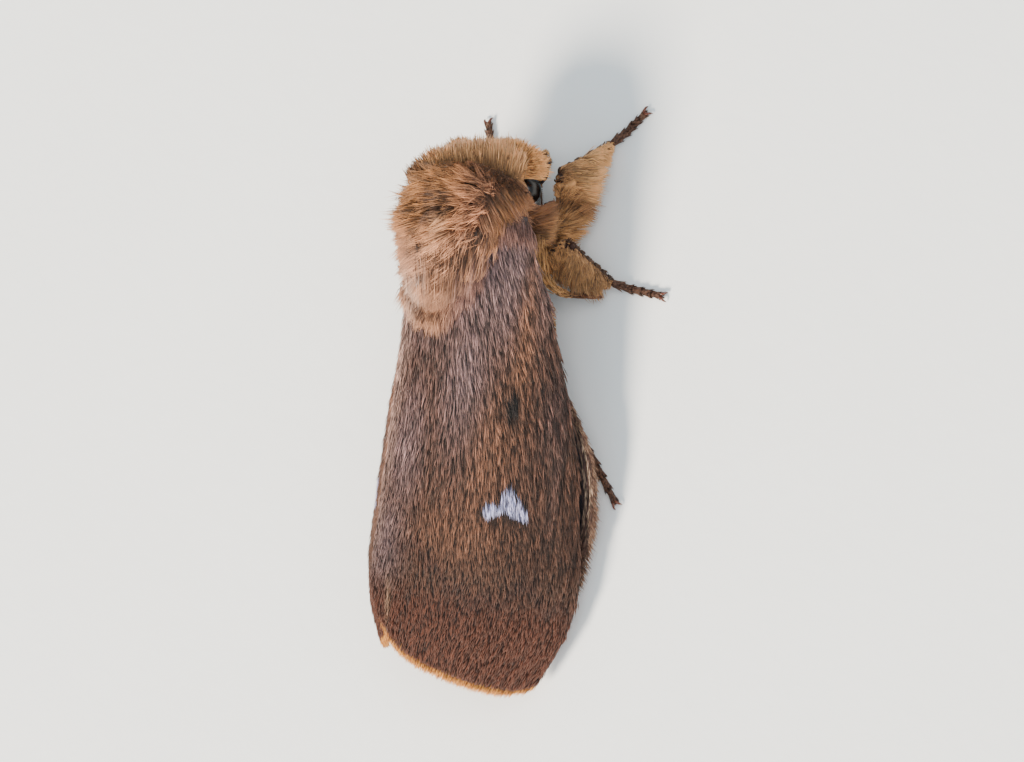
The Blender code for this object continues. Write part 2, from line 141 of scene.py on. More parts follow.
# Leg stations: out, y, z of the bone, then the fur's half width, half thickness and how far its middle lies
# behind.
FORE_FAN, MID_FAN, HIND_FAN = (0.85, 0.5, -0.15), (-0.35, 0.93, 0.0), (0.3, 0.95, 0.0)
FORE_FEMUR = (
    (1.9, -2.5, 1.45, 0.8, 0.8, 0.2), (2.55, -3.5, 1.65, 1.3, 0.85, 0.6),
    (2.9, -4.6, 2.15, 1.35, 0.75, 0.9), (3.0, -5.45, 2.85, 0.75, 0.45, 0.4),
)
FORE_TIBIA = (
    (2.95, -5.75, 3.0, 0.35, 0.35, 0.1), (3.2, -6.2, 2.35, 0.95, 0.5, 0.55),
    (3.6, -6.8, 1.5, 0.9, 0.45, 0.55), (3.9, -7.35, 0.85, 0.6, 0.36, 0.28), (4.05, -7.6, 0.6, 0.32, 0.3, 0.0),
)
FORE_TARSUS = ((4.15, -7.75, 0.5), (4.6, -8.35, 0.19), (5.5, -9.35, 0.18))
LEFT_FORE_FEMUR = (
    (1.9, -1.9, 1.45, 0.8, 0.8, 0.2), (2.7, -2.6, 1.75, 1.1, 0.85, 0.3),
    (3.35, -3.3, 2.35, 0.9, 0.65, 0.3), (3.6, -3.7, 2.8, 0.45, 0.42, 0.1),
)
LEFT_FORE_TIBIA = (
    (3.6, -4.0, 2.65, 0.35, 0.35, 0.0), (3.6, -4.45, 2.1, 0.7, 0.45, 0.2), (3.5, -5.05, 1.4, 0.7, 0.4, 0.2),
    (3.4, -5.6, 0.85, 0.5, 0.34, 0.1), (3.35, -5.85, 0.6, 0.32, 0.3, 0.0),
)
LEFT_FORE_TARSUS = ((3.35, -6.05, 0.5), (3.4, -6.7, 0.19), (3.72, -7.75, 0.18))
MID_FEMUR = (
    (1.9, -1.5, 1.5, 0.8, 0.8, 0.1), (2.8, -1.9, 1.9, 0.95, 0.8, 0.3),
    (3.6, -2.25, 2.35, 0.8, 0.65, 0.3), (4.0, -2.4, 2.6, 0.45, 0.42, 0.1),
)
MID_TIBIA = (
    (4.15, -2.3, 2.5, 0.4, 0.38, 0.2), (4.4, -1.9, 2.1, 1.1, 0.5, 0.85), (4.8, -1.5, 1.5, 1.2, 0.45, 1.0),
    (5.15, -1.1, 0.95, 0.95, 0.4, 0.7), (5.3, -0.9, 0.65, 0.4, 0.32, 0.1),
)
MID_TARSUS = ((5.55, -0.85, 0.5), (6.2, -0.72, 0.19), (8.1, -0.6, 0.18))
LEFT_MID_TARSUS = ((5.5, -0.8, 0.5), (6.0, -0.6, 0.19), (7.5, -0.05, 0.18))
HIND_FEMUR = (
    (2.3, 1.0, 1.25, 0.5, 0.5, 0.0), (2.6, 2.0, 1.35, 0.52, 0.5, 0.0),
    (3.1, 3.2, 1.5, 0.5, 0.42, 0.0), (3.45, 3.9, 1.6, 0.36, 0.34, 0.0),
)
HIND_TIBIA = (
    (3.6, 4.25, 1.45, 0.34, 0.3, 0.0), (4.0, 5.1, 1.2, 0.6, 0.4, 0.15),
    (4.55, 6.1, 0.88, 0.6, 0.38, 0.2), (5.05, 7.0, 0.6, 0.4, 0.3, 0.1),
)
HIND_TARSUS = ((5.3, 7.35, 0.5), (5.75, 7.95, 0.19), (7.35, 9.75, 0.18))
LEFT_HIND_TARSUS = ((5.2, 7.4, 0.5), (5.4, 7.95, 0.19), (6.3, 9.7, 0.18))
LEGS = {
    ("fore", RIGHT): (FORE_FEMUR, FORE_TIBIA, FORE_TARSUS, FORE_FAN, (1.3, -2.3, 2.9)),
    ("fore", LEFT): (LEFT_FORE_FEMUR, LEFT_FORE_TIBIA, LEFT_FORE_TARSUS, FORE_FAN, (1.3, -1.9, 2.9)),
    ("mid", RIGHT): (MID_FEMUR, MID_TIBIA, MID_TARSUS, MID_FAN, (1.3, -1.0, 2.9)),
    ("mid", LEFT): (MID_FEMUR, MID_TIBIA, LEFT_MID_TARSUS, MID_FAN, (1.3, -1.0, 2.9)),
    ("hind", RIGHT): (HIND_FEMUR, HIND_TIBIA, HIND_TARSUS, HIND_FAN, (1.6, 0.4, 2.6)),
    ("hind", LEFT): (HIND_FEMUR, HIND_TIBIA, LEFT_HIND_TARSUS, HIND_FAN, (1.6, 0.4, 2.6)),
}
# Radii under the fur: the hip's narrows from one end to the other
HIP_BONE, FEMUR_BONE, TIBIA_BONE, PALP_BONE = (0.55, 0.42), 0.3, 0.24, 0.24
TARSUS_RADIUS = 0.2
TARSOMERES = 5

# Hairs and scales
ROOT_DEPTH = 0.03  # of the roots under the skin
HAIR_FLOOR = 0.03  # no hair of the coat comes nearer to the floor
HAIR_WIDTH = 0.042
WIDEST = 0.6  # of a scale's length, where it is widest
PATCH_HALF_WIDTH, PATCH_HEIGHT = 0.0012, 0.003  # of one hair or scale on the map
WHOLE = (0.02, 0.02, 0.98, 0.98)  # the part of the map that a coat over a whole form takes
SUNK, RAISED = 0.9, 0.3  # hairs this far under or over the wing's top are laid on it
LAID_AT, LAID_RELIEF = 0.04, 0.26  # from this height over it, spread over this much

# The markings are laid out across the back as it is seen from this far round to the right of the crest.
SLANT = math.radians(35)


# Small vector helpers

def unit(v):
    """Vectors of length 1 in the same directions."""
    v = np.asarray(v, float)
    return v / np.maximum(np.linalg.norm(v, axis=-1, keepdims=True), 1e-9)


def column(values):
    """One value for each row, ready to be multiplied with rows of three."""
    return np.asarray(values, float)[:, None]


def mix(a, b, t):
    """From a at 0 to b at 1. t is one number, or one for each row."""
    t = np.clip(np.asarray(t, float), 0, 1)
    return a + (b - a) * (column(t) if t.ndim == 1 else t)


def smoothstep(low, high, x):
    """A soft step from 0 at low to 1 at high."""
    t = np.clip((x - low) / (high - low), 0, 1)
    return t * t * (3 - 2 * t)


def bump(x, y, cx, cy, rx, ry):
    """1 at the centre of a soft oval spot, falling to 0 outside it."""
    return np.exp(-(((x - cx) / rx) ** 2) - ((y - cy) / ry) ** 2)


def drift(points, size, seed, count=10):
    """Three smooth values per point, about -1 to 1, which change over this many millimetres."""
    rng = np.random.default_rng(seed)
    total = np.zeros((len(points), 3))
    for _ in range(count):
        wave = unit(rng.normal(size=3)) * rng.uniform(0.6, 1.5) / size
        phase = rng.uniform(0, 2 * math.pi, 3)
        total += np.sin((points @ wave)[:, None] * 2 * math.pi + phase) * unit(rng.normal(size=3)) * 1.7
    return total / math.sqrt(count)


def linear(red, green, blue):
    """A linear colour from its usual 0 to 255 values."""
    c = np.array((red, green, blue)) / 255
    return np.where(c <= 0.04045, c / 12.92, ((c + 0.055) / 1.055) ** 2.4)


def ring_point(centre, across, depth, turn, radius=1.0):
    """Points round a centre, at this angle from across towards depth."""
    return centre + across * column(np.cos(turn) * radius) + depth * column(np.sin(turn) * radius)


def placed(region, u, v):
    """Places on the map, for u and v from 0 to 1 across a region of it."""
    low_u, low_v, high_u, high_v = region
    return np.column_stack((low_u + (high_u - low_u) * u, low_v + (high_v - low_v) * v))


def back_plan(points):
    """Across and ahead, in millimetres, as the slanted view of the back lays them out."""
    x, y, z = points.T
    return -x * math.cos(SLANT) - z * math.sin(SLANT), -y


# Surfaces, each a function of u along and v round or across, both 0 to 1

def smooth_rows(rows, count):
    """A table resampled along smooth curves through its rows."""
    rows = np.asarray(rows, float)
    n = len(rows)
    t = np.linspace(0, n - 1, count)
    k = np.clip(t.astype(int), 0, n - 2)
    f = (t - k)[:, None]
    before, here = rows[np.maximum(k - 1, 0)], rows[k]
    there, after = rows[k + 1], rows[np.minimum(k + 2, n - 1)]
    a, b = 2 * here, there - before
    c, d = 2 * before - 5 * here + 4 * there - after, 3 * here - before - 3 * there + after
    return 0.5 * (a + b * f + c * f**2 + d * f**3)


def rows_at(rows, u):
    """Rows of a table at fractions u of its length."""
    t = np.clip(u, 0, 1) * (len(rows) - 1)
    k = np.clip(t.astype(int), 0, len(rows) - 2)
    f = (t - k)[:, None]
    return rows[k] * (1 - f) + rows[k + 1] * f


class Trunk:
    """A closed body round the y axis from rows of y, centre z and four radii."""

    def __init__(self, rows, coat=0.0, count=60):
        rows = np.array(rows, float)
        rows[:, 2:] = np.maximum(rows[:, 2:] - coat, 0.42 * rows[:, 2:])
        middle = rows[:, 0].mean()
        shrink = 1 - coat / (rows[-1, 0] - rows[0, 0])
        rows[:, 0] = middle + (rows[:, 0] - middle) * shrink
        ends = [rows[0].copy(), rows[-1].copy()]
        for end, step in zip(ends, (-1, 1)):
            end[0] += step * 0.5 * end[2:].min()
            end[2:] = 0.02
        self.rows = smooth_rows(np.vstack((ends[0], rows, ends[1])), count)
        self.rows[:, 2:] = np.maximum(self.rows[:, 2:], 0.0)

    def at(self, u, v):
        y, z, wide_left, wide_right, above, below = rows_at(self.rows, u).T
        c, s = np.cos(v * 2 * math.pi), np.sin(v * 2 * math.pi)
        return np.column_stack((
            c * np.where(c > 0, wide_left, wide_right), y, z + s * np.where(s > 0, above, below)
        ))

    def out(self, points):
        """How far out each point lies: 1 on the surface."""
        z, wide_left, wide_right, above, below = (
            np.interp(points[:, 1], self.rows[:, 0], self.rows[:, k]) for k in range(1, 6)
        )
        x, h = points[:, 0], points[:, 2] - z
        wide = np.maximum(np.where(x > 0, wide_left, wide_right), 0.05)
        tall = np.maximum(np.where(h > 0, above, below), 0.05)
        beyond = np.maximum(self.rows[0, 0] - points[:, 1], points[:, 1] - self.rows[-1, 0])
        return np.sqrt((x / wide) ** 2 + (h / tall) ** 2) + 3 * np.maximum(beyond, 0)


class Ball:
    """An ellipsoid with its poles before and behind."""

    def __init__(self, centre, radii):
        self.centre, self.radii = np.array(centre, float), np.array(radii, float)

    def at(self, u, v):
        tilt, turn = math.pi * (0.02 + 0.96 * u), 2 * math.pi * v
        return self.centre + self.radii * np.column_stack(
            (np.sin(tilt) * np.cos(turn), -np.cos(tilt), np.sin(tilt) * np.sin(turn))
        )

    def out(self, points):
        return np.linalg.norm((points - self.centre) / self.radii, axis=1)


class Limb:
    """A tube along a path, with the direction in which its fur fans out."""

    def __init__(self, stations, side, fan, radius, count=40):
        table = smooth_rows(stations, count)
        self.path = table[:, :3] * (side, 1, 1)
        self.fur = table[:, 3:]
        if np.ndim(radius) == 0:
            self.radius = np.full(count, radius)
        else:
            self.radius = smooth_rows(column(radius), count)[:, 0]
        along = unit(np.gradient(self.path, axis=0))
        fan = np.array(fan, float) * (side, 1, 1)
        across = unit(fan - along * (along @ fan)[:, None])
        self.frame = np.hstack((along, across, np.cross(along, across)))

    def axes(self, u):
        """Unit vectors along the limb, across it towards the fan, and square to both."""
        rows = rows_at(self.frame, u)
        return unit(rows[:, :3]), unit(rows[:, 3:6]), unit(rows[:, 6:])

    def at(self, u, v):
        _, across, depth = self.axes(u)
        taper = np.minimum(1, np.minimum(u, 1 - u) * 14 + 0.25)
        radius = rows_at(column(self.radius), u)[:, 0] * taper
        return ring_point(rows_at(self.path, u), across, depth, v * 2 * math.pi, radius)

    def out(self, points):
        """How far out of the fur each point lies: 1 on its outline."""
        start, end = self.path[0], self.path[-1]
        axis = end - start
        u = np.clip((points - start) @ axis / (axis @ axis), 0, 1)
        for _ in range(2):
            further = ((points - rows_at(self.path, u)) * self.axes(u)[0]).sum(1)
            u = np.clip(u + further / np.linalg.norm(axis), 0, 1)
        away = points - rows_at(self.path, u)
        wide, thick, offset = rows_at(self.fur, u).T
        past, sideways, deep = ((away * v).sum(1) for v in self.axes(u))
        round_middle = np.sqrt(((sideways - offset) / wide) ** 2 + (deep / thick) ** 2)
        return round_middle + 1.5 * np.maximum(np.abs(past) - 0.25, 0)


COAT_OUTLINE = Trunk(THORAX)


# Columns of ROOF
HALF_WIDTH, EDGE_HEIGHT, RIDGE = {RIGHT: 1, LEFT: 3}, {RIGHT: 2, LEFT: 4}, 5


def roof_at(number, y):
    """A column of ROOF at each y, smoothed over a length of 1.4."""
    shifts = (-0.7, -0.35, 0.0, 0.35, 0.7)
    return sum(np.interp(y + shift, ROOF[:, 0], ROOF[:, number]) for shift in shifts) / len(shifts)


def roof_side(numbers, x, y):
    """The same for a column that each side has of its own."""
    return np.where(x < 0, roof_at(numbers[RIGHT], y), roof_at(numbers[LEFT], y))


def roof_height(x, y):
    """Height of the folded wings' upper surface."""
    edge = roof_side(EDGE_HEIGHT, x, y)
    return edge + (roof_at(RIDGE, y) - edge) * (1 - (x / roof_side(HALF_WIDTH, x, y)) ** 2)


def roof_up(x, y):
    """Unit normals of that surface."""
    step = 0.05
    slope_x = (roof_height(x + step, y) - roof_height(x - step, y)) / (2 * step)
    slope_y = (roof_height(x, y + step) - roof_height(x, y - step)) / (2 * step)
    return unit(np.column_stack((-slope_x, -slope_y, np.ones_like(x))))


def roof_point(x, y, below):
    """Points this far under that surface."""
    drop = column(np.broadcast_to(below, x.shape))
    return np.column_stack((x, y, roof_height(x, y))) - roof_up(x, y) * drop


def termen(across):
    """The y of a forewing's outer margin, from its front edge at 0 to the inner one at 1."""
    return 20.95 - 2.4 * across - 0.9 * (1 - across) ** 16 - 2.35 * across**6


class Forewing:
    """u runs from the thorax's fur to the outer margin, v from the front edge over the ridge and down."""

    kind = "forewing"
    span = 24.0
    across = np.linspace(0, 1, 41)

    def __init__(self, side):
        self.side, self.label = side, SIDES[side]
        self.starts = None
        tries = np.linspace(0, 0.5, 120)
        starts = []
        for v in self.across:
            inside = COAT_OUTLINE.out(self.at(tries, np.full(120, v), 0.0)) < 0.9
            starts.append(tries[inside].max() if inside.any() else 0.0)
        self.starts = np.convolve(np.pad(starts, 2, "edge"), np.full(5, 0.2), "valid")

    def at(self, u, v, below=SCALE_DEPTH):
        if self.starts is not None:
            start = np.interp(v, self.across, self.starts)
            u = start + u * (1 - start)
        shorter = SHORTER[self.side]
        y = FOREWING_START + u * (termen(v) - shorter - FRINGE - FOREWING_START)
        reach = roof_at(HALF_WIDTH[self.side], y + shorter) - 0.06
        x = self.side * ((1 - v) * reach - v * (INNER_MARGIN - 0.06))
        return roof_point(x, y, FOREWING_LAYER[self.side] + below - veins(u, v))

    def colour(self, u, v):
        return forewing_colour(self.side, u, v)


class Hindwing:
    """u runs back along the wing, v from its inner edge out to the bend and on past it."""

    kind = "hindwing"
    span = 12.5

    def __init__(self, side):
        self.side, self.label = side, SIDES[side]

    def at(self, u, v, below=SCALE_DEPTH):
        side = self.side
        y = HINDWING_START[side] + 0.1 + u * (HINDWING_END - HINDWING_START[side] - 0.35)
        v = 0.02 + 0.96 * v
        bend = HINDWING_BEND[side]
        spread = 1 - ((y - HINDWING_WIDEST) / (HINDWING_END - HINDWING_WIDEST)) ** 2
        shows = HINDWING_SHOWS[side] * np.maximum(spread, -HINDWING_TUCK)
        reach = roof_at(HALF_WIDTH[side], y) - HINDWING_TRIM[side] + np.minimum(shows, 0.0)
        shows = np.maximum(shows, HINDWING_RIM)
        out = np.maximum(0.0, v - bend) / (1.001 - bend)
        inner = HINDWING_INNER[side]
        x = side * (inner + (reach - inner) * np.minimum(v / bend, 1.0))
        up = unit(mix(roof_up(x, y), UP, out))
        flare = np.column_stack((side * shows * 1.35 * out, np.zeros_like(x), 0.2 * out * out))
        return roof_point(x, y, HINDWING_LAYER[side]) + flare - up * below

    def colour(self, u, v):
        return hindwing_colour(u, v)


def veins(u, v):
    """Height of the folds and veins that fan out over a forewing."""
    height = np.zeros_like(u)
    for place, strength in VEINS:
        middle = place + 0.03 * np.sin(5 * u + 9 * place) * u
        height += strength * np.exp(-(((v - middle) / 0.022) ** 2))
    ribs = 0.035 * height * smoothstep(0.12, 0.4, u)
    return ribs + 0.03 * np.sin(v * 19 + 2 * u) * smoothstep(0.1, 0.5, u)


def normals(surface, u, v, away=UP):
    """Unit normals, turned to the side of a direction, and unit vectors along u."""
    step = 0.004
    a = surface.at(np.minimum(u + step, 1), v) - surface.at(np.maximum(u - step, 0), v)
    b = surface.at(u, v + step) - surface.at(u, v - step)
    n = unit(np.cross(a, b))
    return n * column(np.where((n * away).sum(1) < 0, -1, 1)), unit(a)


def scatter(surface, count, rng, weight=None, cells=(70, 60)):
    """Places spread evenly by area over a surface, or thicker where weight(points) is larger."""
    middles = [(np.arange(n) + 0.5) / n for n in cells]
    gu, gv = (grid.ravel() for grid in np.meshgrid(*middles, indexing="ij"))
    hu, hv = 0.5 / cells[0], 0.5 / cells[1]
    a = surface.at(gu + hu, gv) - surface.at(gu - hu, gv)
    b = surface.at(gu, gv + hv) - surface.at(gu, gv - hv)
    area = np.linalg.norm(np.cross(a, b), axis=1)
    if weight is not None:
        area = area * weight(surface.at(gu, gv))
    pick = rng.choice(len(gu), size=count, p=area / area.sum())
    u = gu[pick] + rng.uniform(-hu, hu, count)
    v = gv[pick] + rng.uniform(-hv, hv, count)
    return np.clip(u, 0.001, 0.999), np.clip(v, 0.001, 0.999)


# Hairs and scales: closed spikes, many to a mesh

def strands(roots, first, last, length, width, tint, patch, rng, tip=None):
    """Bent hairs, three-sided and pointed. tint is their colour near the middle, tip their ends if given."""
    n = len(roots)
    length, width = np.broadcast_to(length, n), np.broadcast_to(width, n)
    first, last = unit(first), unit(last)
    side = unit(np.cross(first, rng.normal(size=(n, 3))))
    rise = np.cross(first, side)
    middle = roots + first * column(length * 0.5)
    end = middle + last * column(length * 0.5) if tip is None else tip
    points = np.empty((n, 7, 3))
    for k in range(3):
        turn = 2 * math.pi * k / 3
        ring = side * math.cos(turn) + rise * math.sin(turn)
        points[:, k] = roots + ring * column(width * 0.4)
        points[:, 3 + k] = middle + ring * column(width * 0.5)
    points[:, 6] = end
    faces = [(0, 2, 1)]
    for k in range(3):
        after = (k + 1) % 3
        faces += [(k, after, 3 + after), (k, 3 + after, 3 + k), (3 + k, 3 + after, 6)]
    # Painted shade: each hair is darkened towards its root, where the hairs shade one another. Its lighter
    # end is partly the hair's own pale tip and partly a painted glow of light coming through it.
    shade = np.repeat((0.26, 0.88, 1.75), (3, 3, 1))
    return spikes(points, faces, tint, shade, patch, (0, 0, 0, 0.5, 0.5, 0.5, 1), (-1, 0, 1, -1, 0, 1, 0))


def scales(roots, along, up, length, width, lift, tint, patch):
    """Flat narrow scales, widest past their middle."""
    width = np.broadcast_to(width, len(roots))
    side = unit(np.cross(up, along))
    heading = unit(along + up * column(lift))
    middle = roots + heading * column(length * WIDEST)
    points = np.empty((len(roots), 5, 3))
    points[:, 0] = roots
    points[:, 1] = middle + side * column(width * 0.5)
    points[:, 2] = middle + up * column(width * 0.3)
    points[:, 3] = middle - side * column(width * 0.5)
    points[:, 4] = roots + heading * column(length)
    faces = []
    for k in range(3):
        a, b = 1 + k, 1 + (k + 1) % 3
        faces += [(0, b, a), (a, b, 4)]
    # Painted shade: each scale is darkened at its root, where the scales over it shade it, and lighter
    # towards its free end.
    shade = np.array((0.35, 0.9, 1.05, 0.9, 1.3))
    return spikes(points, faces, tint, shade, patch, (0, WIDEST, WIDEST, WIDEST, 1), (0, 1, 0, -1, 0))


def spikes(points, faces, tint, shade, patch, up_patch, across_patch):
    """One set of like spikes, ready to be joined: points, faces, tints and places on the map."""
    n, corners = points.shape[:2]
    faces = np.array(faces)[None] + (np.arange(n) * corners)[:, None, None]
    tints = tint[:, None, :] * shade[None, :, None]
    tints = tints / np.maximum(tints.max(axis=2, keepdims=True) / 0.95, 1)
    across, up = np.array(across_patch), np.array(up_patch) - 0.5
    offset = np.column_stack((across * PATCH_HALF_WIDTH, up * PATCH_HEIGHT))
    return {
        "points": points.reshape(-1, 3),
        "faces": faces.reshape(-1, 3),
        "tints": tints.reshape(-1, 3),
        "patch": (patch[:, None, :] + offset[None]).reshape(-1, 2),
    }


def joined(sets):
    """Several sets of spikes as one."""
    base, faces = 0, []
    for one in sets:
        faces.append(one["faces"] + base)
        base += len(one["points"])
    rest = {key: np.concatenate([one[key] for one in sets]) for key in ("points", "tints", "patch")}
    return {**rest, "faces": np.concatenate(faces)}


def keep(mask, *arrays):
    """The rows of each array that the mask picks."""
    return tuple(a[mask] for a in arrays)


def held_in(roots, way, length, out, bound, rounds, share):
    """Lengths cut back to this share, in rounds, until the tips lie within a bound, and those tips."""
    for _ in range(rounds):
        length = np.where(out(roots + way * column(length * 0.5)) > bound, length * share, length)
    return length, roots + way * column(length * 0.5)


def lock_of(points, count, rng):
    """For each point, which of so many evenly picked points is nearest: the hairs of one lock."""
    chosen = rng.choice(len(points), size=min(count, len(points)), replace=False)
    tree = kdtree.KDTree(len(chosen))
    for i, c in enumerate(chosen):
        tree.insert(points[c], i)
    tree.balance()
    return chosen[np.fromiter((tree.find(p)[1] for p in points), int, len(points))]


def coat(surface, count, rng, flow, colour, away, *, width, out, limit, locks=12, weight=None):
    """Fur over a surface, as rows for combed().

    flow(points) gives heading, the rise at root and tip, length and what to keep. away(points) points out of
    the body. out(points) keeps the tips in an outline, each to a place of its own between the two limits.
    """
    u, v = scatter(surface, count, rng, weight)
    points = surface.at(u, v)
    n, _ = normals(surface, u, v, away(points))
    heading, low, high, length, wanted = flow(points)
    u, v, points, n, heading, low, high, length = keep(wanted, u, v, points, n, heading, low, high, length)
    heading = unit(heading - n * column((heading * n).sum(1)))
    heading = unit(heading + drift(points, 0.8, 5) * 0.25 + rng.normal(size=points.shape) * 0.12)
    length = length * rng.uniform(0.75, 1.1, len(length))
    first = unit(heading * column(np.cos(low)) + n * column(np.sin(low)))
    last = unit(heading * column(np.cos(high)) + n * column(np.sin(high)) + drift(points, 1.3, 6) * 0.15)
    lock = lock_of(points, len(points) // locks, rng)
    bound = limit[0] + (limit[1] - limit[0]) * rng.uniform(0, 1, len(points)) ** 1.8
    length, tips = held_in(points, first + last, length, out, bound, rounds=5, share=0.84)
    tips = mix(tips, tips[lock], 0.6)
    tint = colour((points + tips) / 2) * np.exp(rng.normal(0, 0.28, (len(points), 1)))
    tint = tint * (1 + 0.33 * drift(points[lock], 0.15, 8)[:, :1])
    roots, widths = points - n * ROOT_DEPTH, np.full(len(points), width)
    return roots, first, last, length, widths, tint, placed(WHOLE, u, v), tips


def combed(rows, rng, over_wings=False):
    """Strands from rows, kept off the floor and, where asked, on top of the wings."""
    made = strands(*rows[:-1], rng, tip=rows[-1])
    p = made["points"]
    p[:, 2] = np.maximum(p[:, 2], HAIR_FLOOR)
    if over_wings:
        lie_on_wings(p)
    return made


def lie_on_wings(p):
    """Lays points that are in or just over a forewing's top on its scales, in their own order of height."""
    x, y, z = p.T
    top = roof_height(x, y)
    buried = (y > -3.0) & (np.abs(x) < roof_side(HALF_WIDTH, x, y)) & (COAT_OUTLINE.out(p) > 0.86)
    buried &= (z < top + RAISED) & (z > top - SUNK)
    laid = top + LAID_AT + LAID_RELIEF * (z - top + SUNK) / (SUNK + RAISED)
    p[:, 2] = np.where(buried, np.minimum(laid, COAT_TOP), z)


# Colours, shared by skin, membranes, scales and hairs

BLONDE, TAWNY, ROSE = linear(204, 148, 96), linear(148, 98, 54), linear(162, 111, 81)
UMBER, DARK_BROWN, CREAM = linear(74, 40, 24), linear(40, 26, 24), linear(206, 168, 134)
GOLD, HONEY = linear(238, 170, 106), linear(240, 177, 119)
PURPLE_BROWN, FAWN, PALE_HIGHLIGHT = linear(122, 88, 78), linear(144, 102, 77), linear(190, 170, 158)
BAND_ORANGE, BAND_BROWN = linear(206, 120, 52), linear(58, 38, 32)
LEG_PALE, LEG_DEEP = linear(222, 166, 110), linear(116, 74, 44)
SWEPT_PALE, SWEPT_TIP = linear(196, 142, 88), linear(104, 58, 34)
WING_BROWN, MAUVE = linear(74, 46, 33), linear(113, 89, 89)
TAN, WING_DARK = linear(116, 76, 54), linear(64, 44, 41)
EDGE_LIGHT, OUTER_BROWN, BAND_DARK = linear(168, 134, 120), linear(78, 37, 20), linear(62, 34, 26)
SMUDGE, SPOT_HALO = linear(16, 9, 9), linear(44, 28, 26)
SPOT_RIM, SPOT = linear(28, 17, 17), linear(176, 173, 206)
HIND_BROWN, HIND_DARK = linear(92, 62, 50), linear(60, 42, 38)
HIND_PALE, HIND_UNDER_SHADE = linear(172, 142, 118), linear(22, 16, 26)
WING_LINE = np.array(((-4.68, -1.8), (-3.12, -0.09), (-2.1, 0.98), (-1.1, 3.45), (0.5, 4.2)))
PARTING = np.array(((-5.24, 5.25), (-3.78, 5.63), (-2.19, 5.22), (-1.36, 4.75), (-0.11, 4.23)))


# Soft marks on a forewing: strength, place across and ahead, reach across and ahead.
# The mauve marks are partly the scales' own mauve-grey and partly painted sheen, where the scales face the
# light.
MAUVE_AND_SHEEN_MARKS = (
    (0.75, -2.3, -4.5, 1.2, 3.6), (0.8, -4.9, -13.2, 0.9, 2.2),
    (0.7, 0.9, 1.2, 0.7, 3.4), (0.65, -4.6, -8.4, 0.9, 3.6),
)
TAN_MARKS = ((0.8, 0.3, -3.4, 0.65, 4.2), (0.6, -0.6, -8.5, 0.9, 3.0), (0.5, -1.2, -12.6, 2.6, 1.5))
DARK_MARKS = ((0.75, 2.3, -5.9, 0.7, 2.6), (0.5, 2.9, -9.0, 0.35, 3.5))
# The lobes of the pale spot: place across and ahead, reach across and ahead.
SPOT_LOBES = (
    (-0.12, -11.15, 0.38, 0.26), (0.32, -11.0, 0.42, 0.28), (0.68, -10.55, 0.36, 0.6),
    (1.12, -10.95, 0.44, 0.42), (1.5, -11.25, 0.3, 0.28),
)
SPOT_SHIFT = {RIGHT: 0.0, LEFT: 2.3}  # across, on the wing that lies beneath


def parting(points):
    """How far ahead of the dark parting behind the collar each point lies, in the back's plan."""
    across, ahead = back_plan(points)
    return ahead - np.interp(across, PARTING[:, 0], PARTING[:, 1])


def over_wing(points):
    """How far behind the line where the thorax's fur ends and the wing's begins each point lies."""
    across, ahead = back_plan(points)
    return np.interp(across, WING_LINE[:, 0], WING_LINE[:, 1]) - ahead


def groove(points):
    """1 in the groove on the left of the thorax."""
    across, ahead = back_plan(points)
    return bump(across, ahead, -5.12, 3.15, 0.26, 0.75)


def body_colour(points):
    """The fur of the thorax, its collar and the start of the wings."""
    across, ahead = back_plan(points)
    height, gap = points[:, 2], parting(points)
    tint = mix(ROSE, TAWNY * 0.88, smoothstep(-2.8, -4.9, across) * 0.95)
    tint = mix(tint, TAWNY * 1.15, 0.8 * bump(over_wing(points), across, -0.7, -1.0, 0.7, 1.8))
    tint = mix(tint, HONEY, smoothstep(0.0, 0.7, gap) * 0.85)
    dark = bump(gap, across, 0.0, -1.3, 0.55, 1.1) + 0.7 * bump(gap, across, -0.2, -3.5, 0.35, 1.6)
    tint = mix(tint, UMBER, np.clip(dark, 0, 1) * 0.85)
    # Painted shade in the groove on the left of the thorax.
    tint = mix(tint, UMBER, groove(points) * 0.9)
    tint = mix(tint, CREAM, 0.2 * bump(across, ahead, -4.5, 2.5, 0.35, 1.0))
    tint = mix(tint, FAWN, 0.9 * smoothstep(3.2, 0.6, ahead))
    # Painted highlight: a pale lit patch on the left where the fur meets the wing's base.
    tint = mix(tint, PALE_HIGHLIGHT, 0.7 * bump(across, ahead, -5.45, -1.3, 0.4, 1.2))
    tint = mix(tint, TAWNY, smoothstep(5.0, 3.6, height) * 0.5)
    beyond = smoothstep(-0.1, 0.7, over_wing(points)) * smoothstep(-4.4, -3.0, across)
    return mix(tint, PURPLE_BROWN, beyond * smoothstep(4.0, 4.8, height))


def abdomen_colour(points):
    """Bands, with a blond tip."""
    y = points[:, 1]
    band = smoothstep(0.25, 0.6, np.abs(((y - 1.0) / 1.85) % 1 - 0.5) * 2)
    return mix(mix(BAND_ORANGE, BAND_BROWN, band), BLONDE, smoothstep(13.6, 14.8, y))


def leg_colour(points):
    """Deeper near the body."""
    y, z = points[:, 1], points[:, 2]
    deep = np.maximum(smoothstep(2.2, 3.6, z), 0.55 * smoothstep(-4.6, -3.4, y))
    deep = np.maximum(deep, 0.85 * bump(y, 0, -4.1, 0, 0.7, 1))
    return mix(LEG_PALE, LEG_DEEP, deep) * (1 + 0.2 * drift(points, 1.0, 21)[:, :1])


def head_colour(points):
    tint = mix(GOLD, TAWNY, smoothstep(3.8, 2.6, points[:, 2]))
    return mix(tint, UMBER, 0.5 * smoothstep(-5.2, -4.6, points[:, 1]))


def curl_colour(points):
    across, _ = back_plan(points)
    return mix(UMBER, TAWNY, 0.3 + 0.6 * smoothstep(-2.6, -4.4, across))


